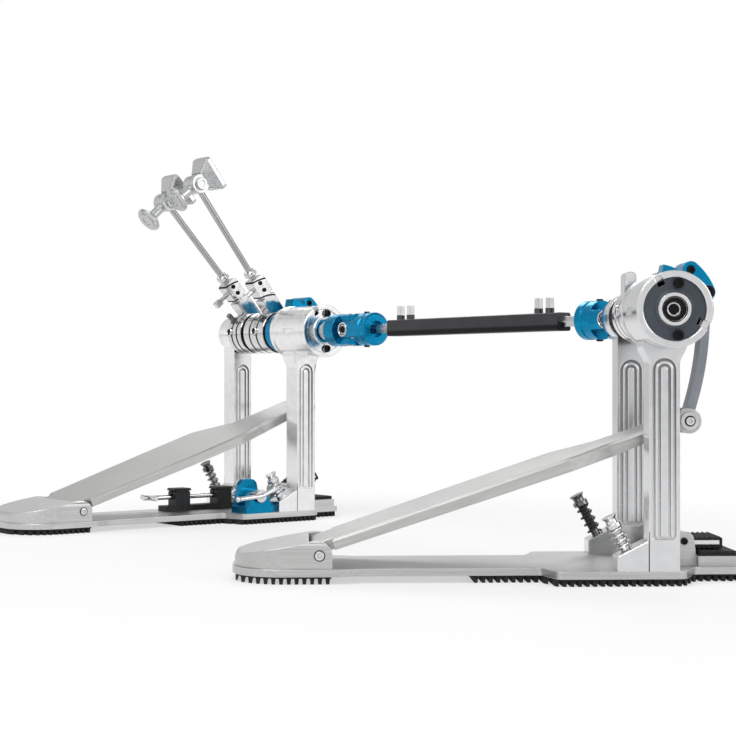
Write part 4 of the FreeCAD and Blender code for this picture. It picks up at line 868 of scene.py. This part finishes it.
def key_screw(pedal, body):
    """Square-headed key screw with a flange, standing out of a hub."""
    y, angle, reach = KEY_SCREWS[body]
    radius, flange = KEY_FLANGE
    bm = bmesh.new()
    stack(bm, (
        disc_loop(bm, radius, 0.0), disc_loop(bm, radius, flange), disc_loop(bm, KEY_NECK, flange),
        disc_loop(bm, KEY_NECK, reach - KEY_HEAD),
        corner_loop(bm, KEY_HALF, KEY_HALF, KEY_CORNER, reach - KEY_HEAD),
        corner_loop(bm, KEY_HALF, KEY_HALF, KEY_CORNER, reach - KEY_EASE),
        corner_loop(bm, KEY_HALF - KEY_EASE, KEY_HALF - KEY_EASE, KEY_CORNER - KEY_EASE / 2, reach),
    ))
    at = pedal.round_axle(HUB_RADIUS - HUB_SINK, angle, y)
    name = body + "_key_screw"
    piece(name, finish_mesh(name, bm, aimed(at, pedal.outward(angle))), "worn_steel", body)


COLLAR = Ring(0.0031, 0.0062, 0.0055)
COLLAR_STAND = 0.0032
TOWER_SCREW = Screw(0.0021, 0.001, 0.0012)
TOWER_SCREW_DROPS = (0.006, 0.014)
FACE_THICKNESS = 0.0008
FACE_MARGIN = 0.0006
BOSS_RIM = Ring(0.003, 0.0056, 0.0006)
DISC_RIM = Ring(0.0045, 0.009, 0.0005)


def beater_details(side):
    """White striking face, rims on the head, a memory collar on the rod and screws in the clamp tower."""
    beater = BeaterFrame(side)
    head = side + "_head"
    reach = BEATER_REACH[side]
    half = tuple(size - FACE_MARGIN for size in HEAD_FACE_HALF)
    rounded_plate(head + "_face", beater.at(HEAD_FACE, 0, reach), beater.ahead, beater.up, half, HEAD_CORNER,
                  FACE_THICKNESS, "white_face", head)
    for hand, sign in (("left", 1), ("right", -1)):
        washer(f"{head}_boss_rim_{hand}", beater.at(0, sign * HEAD_BOSS_END, reach), beater.across * sign,
               BOSS_RIM, "beater_head", head)
    washer(head + "_disc_rim", beater.at(HEAD_DISC_BACK, 0, reach), -beater.ahead, DISC_RIM,
           "beater_head", head)
    washer(side + "_memory_collar", beater.at(0, 0, TOWER_TOP + COLLAR_STAND), beater.up, COLLAR,
           "bright_steel", side + "_beater")
    hub = "primary_rocker" if side == "right" else "beater_shaft"
    for i, drop in enumerate(TOWER_SCREW_DROPS):
        socket_head(f"{side}_tower_screw_{i}", beater.at(0, -TOWER_HALF, TOWER_TOP - drop), -beater.across,
                    TOWER_SCREW, "black_oxide", hub)


CLIP_TOP = (0.0092, 0.0085)
CLIP_CORNER = 0.002
CLIP_THICKNESS = 0.0022


def holder_details(pedal):
    """Wide tops on the key holder's clips."""
    for i, x in enumerate(HOLDER_CLIPS):
        at = pedal.at(x, HOLDER_SIDE, PLATE_TOP + HOLDER_HEIGHT)
        rounded_plate(f"key_clip_top_{i}", at, UP, pedal.across, CLIP_TOP, CLIP_CORNER, CLIP_THICKNESS,
                      "black_plastic", pedal.name + "_base")


CAP_SCREW = Screw(0.0024, 0.0008, 0.0013)


def end_cap_details(pedal):
    """Grub screw in the end cap beyond the left post."""
    at = pedal.at(-END_CAP[0], END_CAP[1], AXLE_HEIGHT)
    socket_head("end_cap_screw", at, -pedal.ahead, CAP_SCREW, "black_oxide", "beater_shaft")


BUSH = {"left": Ring(0.0052, 0.0066, 0.0012), "right": Ring(0.0052, 0.0066, 0.0012),
        "upper": Ring(0.0046, 0.0062, 0.0012), "lower": Ring(0.0046, 0.0062, 0.0012)}
BUSH_SINK = 0.0009
CROSS_SOCKET = Screw(0.0034, 0.0006, 0.0018)
YOKE_SCREW = Screw(0.0026, 0.0016, 0.0014)
YOKE_SCREW_SINK = 0.0004


def joint_details(label, axle_body, shaft_body):
    """Bushes and sockets at the joint's pins, and grub screws in the yoke."""
    pivot = place_of(label + "_cross_swing")
    shaft_axis = axis_of("sleeve_turn") * (-1 if label == "primary" else 1)
    level = UP.cross(shaft_axis).normalized()
    cross = label + "_cross"
    for hand, way, body in (("left", level, shaft_body), ("right", -level, shaft_body),
                            ("upper", UP, axle_body), ("lower", -UP, axle_body)):
        washer(f"{label}_joint_bush_{hand}", pivot + way * (EAR_OUTER - BUSH_SINK), way, BUSH[hand],
               "bright_steel", body)
        socket_head(f"{label}_cross_socket_{hand}", pivot + way * CROSS_REACH, way, CROSS_SOCKET,
                    "black_oxide", cross)
    for hand, way in (("upper", UP), ("lower", -UP)):
        at = pivot + shaft_axis * YOKE_SCREW_AT + way * (YOKE_RADIUS - YOKE_SCREW_SINK)
        socket_head(f"{label}_yoke_screw_{hand}", at, way, YOKE_SCREW, "black_oxide", shaft_body)


def build_details():
    for pedal in PEDAL.values():
        spur_details(pedal)
        housing_details(pedal)
        cam_details(pedal)
        pin_details(pedal)
        hub_details(pedal, RIGHT_HUB_SCREWS, pedal.name + "_rocker")
    hub_details(PEDAL["primary"], LEFT_HUB_SCREWS, "beater_shaft")
    for body in KEY_SCREWS:
        key_screw(PEDAL["primary"], body)
    end_cap_details(PEDAL["primary"])
    holder_details(PEDAL["primary"])
    axle_end_details(PEDAL["secondary"])
    for side in BEATER_SIDE:
        beater_details(side)
    joint_details("primary", "beater_shaft", "sleeve")
    joint_details("secondary", "secondary_rocker", "inner_rod")


# Studio

FLOOR_SIZE = 40.0
FLOOR_COLOUR = (0.88, 0.88, 0.88)
FLOOR_GLOW = (0.55, 1.0)
FLOOR_GLOW_REACH = (0.35, 0.75)
FLOOR_IN_METAL = 0.3
AMBIENT = 0.5
LAMP_AIM = (0, 0, 0.12)
TENT_BY_DEPTH = ((0.0, 0.95), (0.2, 0.9), (0.34, 1.0), (0.43, 0.85), (0.5, 0.25), (0.56, 0.6), (0.62, 1.0),
                 (0.76, 1.0), (0.9, 0.85), (1.0, 0.68))
TENT_BY_HEIGHT = ((0.0, 1.0), (0.18, 0.95), (0.45, 0.72), (0.75, 0.7), (1.0, 0.9))
LAMPS = (
    Lamp("key", (-1.6, -0.6, 1.9), (1.4, 1.4), 30.0),
    Lamp("fill", (0.9, -2.0, 1.0), (1.6, 1.2), 12.0),
    Lamp("back", (1.2, 1.4, 1.8), (1.6, 1.0), 18.0),
)


def new_node(tree, kind, **settings):
    made = tree.nodes.new(kind)
    for key, value in settings.items():
        setattr(made, key, value)
    return made


def stage_floor():
    """Pale floor that keeps the shadow near the object and turns into the white backdrop further out."""
    mesh = bpy.data.meshes.new("floor")
    half = FLOOR_SIZE / 2
    corners = [(-half, -half, 0), (half, -half, 0), (half, half, 0), (-half, half, 0)]
    mesh.from_pydata(corners, [], [(0, 1, 2, 3)])
    floor = bpy.data.objects.new("floor", mesh)
    bpy.context.scene.collection.objects.link(floor)
    material = bpy.data.materials.new("floor")
    material.use_nodes = True
    tree = material.node_tree
    tree.nodes.clear()
    join = tree.links.new
    paper = new_node(tree, "ShaderNodeBsdfDiffuse")
    paper.inputs["Color"].default_value = (*FLOOR_COLOUR, 1)
    glow = new_node(tree, "ShaderNodeEmission")
    path = new_node(tree, "ShaderNodeLightPath")
    where = new_node(tree, "ShaderNodeTexCoord")
    reach = new_node(tree, "ShaderNodeVectorMath", operation="LENGTH")
    join(where.outputs["Object"], reach.inputs[0])
    fade = new_node(tree, "ShaderNodeMapRange", interpolation_type="SMOOTHSTEP")
    join(reach.outputs["Value"], fade.inputs["Value"])
    fade.inputs["From Min"].default_value, fade.inputs["From Max"].default_value = FLOOR_GLOW_REACH
    fade.inputs["To Min"].default_value, fade.inputs["To Max"].default_value = FLOOR_GLOW
    seen = new_node(tree, "ShaderNodeMath", operation="MULTIPLY")
    join(path.outputs["Is Camera Ray"], seen.inputs[0])
    join(fade.outputs["Result"], seen.inputs[1])
    share = new_node(tree, "ShaderNodeMath", operation="MULTIPLY_ADD")
    join(path.outputs["Is Glossy Ray"], share.inputs[0])
    share.inputs[1].default_value = FLOOR_IN_METAL
    join(seen.outputs[0], share.inputs[2])
    mix = new_node(tree, "ShaderNodeMixShader")
    join(share.outputs[0], mix.inputs[0])
    join(paper.outputs[0], mix.inputs[1])
    join(glow.outputs[0], mix.inputs[2])
    out = new_node(tree, "ShaderNodeOutputMaterial")
    join(mix.outputs[0], out.inputs["Surface"])
    mesh.materials.append(material)


def grey_ramp(tree, source, stops):
    ramp = new_node(tree, "ShaderNodeValToRGB")
    while len(ramp.color_ramp.elements) < len(stops):
        ramp.color_ramp.elements.new(0.5)
    for element, (place, level) in zip(ramp.color_ramp.elements, stops):
        element.position = place
        element.color = (level, level, level, 1)
    tree.links.new(source, ramp.inputs[0])
    return ramp.outputs[0]


def stage_world():
    """White backdrop for the camera.

    Metal sees a tent instead, bright before and behind it, dark in a band at the sides and dimmer halfway up.
    """
    world = bpy.data.worlds.new("studio")
    bpy.context.scene.world = world
    world.use_nodes = True
    tree = world.node_tree
    tree.nodes.clear()
    join = tree.links.new
    path = new_node(tree, "ShaderNodeLightPath")
    way = new_node(tree, "ShaderNodeTexCoord")
    split = new_node(tree, "ShaderNodeSeparateXYZ")
    join(way.outputs["Generated"], split.inputs[0])
    depth = new_node(tree, "ShaderNodeVectorMath", operation="DOT_PRODUCT")
    join(way.outputs["Generated"], depth.inputs[0])
    depth.inputs[1].default_value = CAMERA_LOOKS
    place = new_node(tree, "ShaderNodeMapRange")
    join(depth.outputs["Value"], place.inputs["Value"])
    place.inputs["From Min"].default_value = -1.0
    tent = new_node(tree, "ShaderNodeVectorMath", operation="MULTIPLY")
    join(grey_ramp(tree, place.outputs["Result"], TENT_BY_DEPTH), tent.inputs[0])
    join(grey_ramp(tree, split.outputs["Z"], TENT_BY_HEIGHT), tent.inputs[1])
    ambient = new_node(tree, "ShaderNodeBackground")
    ambient.inputs["Color"].default_value = (1, 1, 1, 1)
    ambient.inputs["Strength"].default_value = AMBIENT
    mirror = new_node(tree, "ShaderNodeBackground")
    join(tent.outputs[0], mirror.inputs["Color"])
    backdrop = new_node(tree, "ShaderNodeBackground")
    backdrop.inputs["Color"].default_value = (1, 1, 1, 1)
    in_metal = new_node(tree, "ShaderNodeMath", operation="MAXIMUM")
    join(path.outputs["Is Glossy Ray"], in_metal.inputs[0])
    join(path.outputs["Is Transmission Ray"], in_metal.inputs[1])
    inner = new_node(tree, "ShaderNodeMixShader")
    join(in_metal.outputs[0], inner.inputs[0])
    join(ambient.outputs[0], inner.inputs[1])
    join(mirror.outputs[0], inner.inputs[2])
    outer = new_node(tree, "ShaderNodeMixShader")
    join(path.outputs["Is Camera Ray"], outer.inputs[0])
    join(inner.outputs[0], outer.inputs[1])
    join(backdrop.outputs[0], outer.inputs[2])
    out = new_node(tree, "ShaderNodeOutputWorld")
    join(outer.outputs[0], out.inputs["Surface"])


def stage_lamp(lamp):
    """Soft box aimed at the middle of the object."""
    data = bpy.data.lights.new(lamp.name, "AREA")
    data.shape = "RECTANGLE"
    data.size, data.size_y = lamp.size
    data.energy = lamp.power
    made = bpy.data.objects.new(lamp.name, data)
    bpy.context.scene.collection.objects.link(made)
    made.location = lamp.at
    made.rotation_mode = "QUATERNION"
    made.rotation_quaternion = (Vector(LAMP_AIM) - Vector(lamp.at)).to_track_quat("-Z", "Y")


def stage_camera():
    data = bpy.data.cameras.new("camera")
    data.lens = CAMERA_LENS
    data.sensor_width = SENSOR
    data.sensor_fit = "HORIZONTAL"
    data.clip_start, data.clip_end = CAMERA_CLIP
    camera = bpy.data.objects.new("camera", data)
    bpy.context.scene.collection.objects.link(camera)
    camera.location = CAMERA_AT
    camera.rotation_mode = "QUATERNION"
    camera.rotation_quaternion = Vector(CAMERA_LOOKS).to_track_quat("-Z", "Y")
    bpy.context.scene.camera = camera


dress_solids()
build_details()
stage_floor()
stage_world()
for soft_box in LAMPS:
    stage_lamp(soft_box)
stage_camera()
bpy.context.scene.view_settings.view_transform = "Standard"
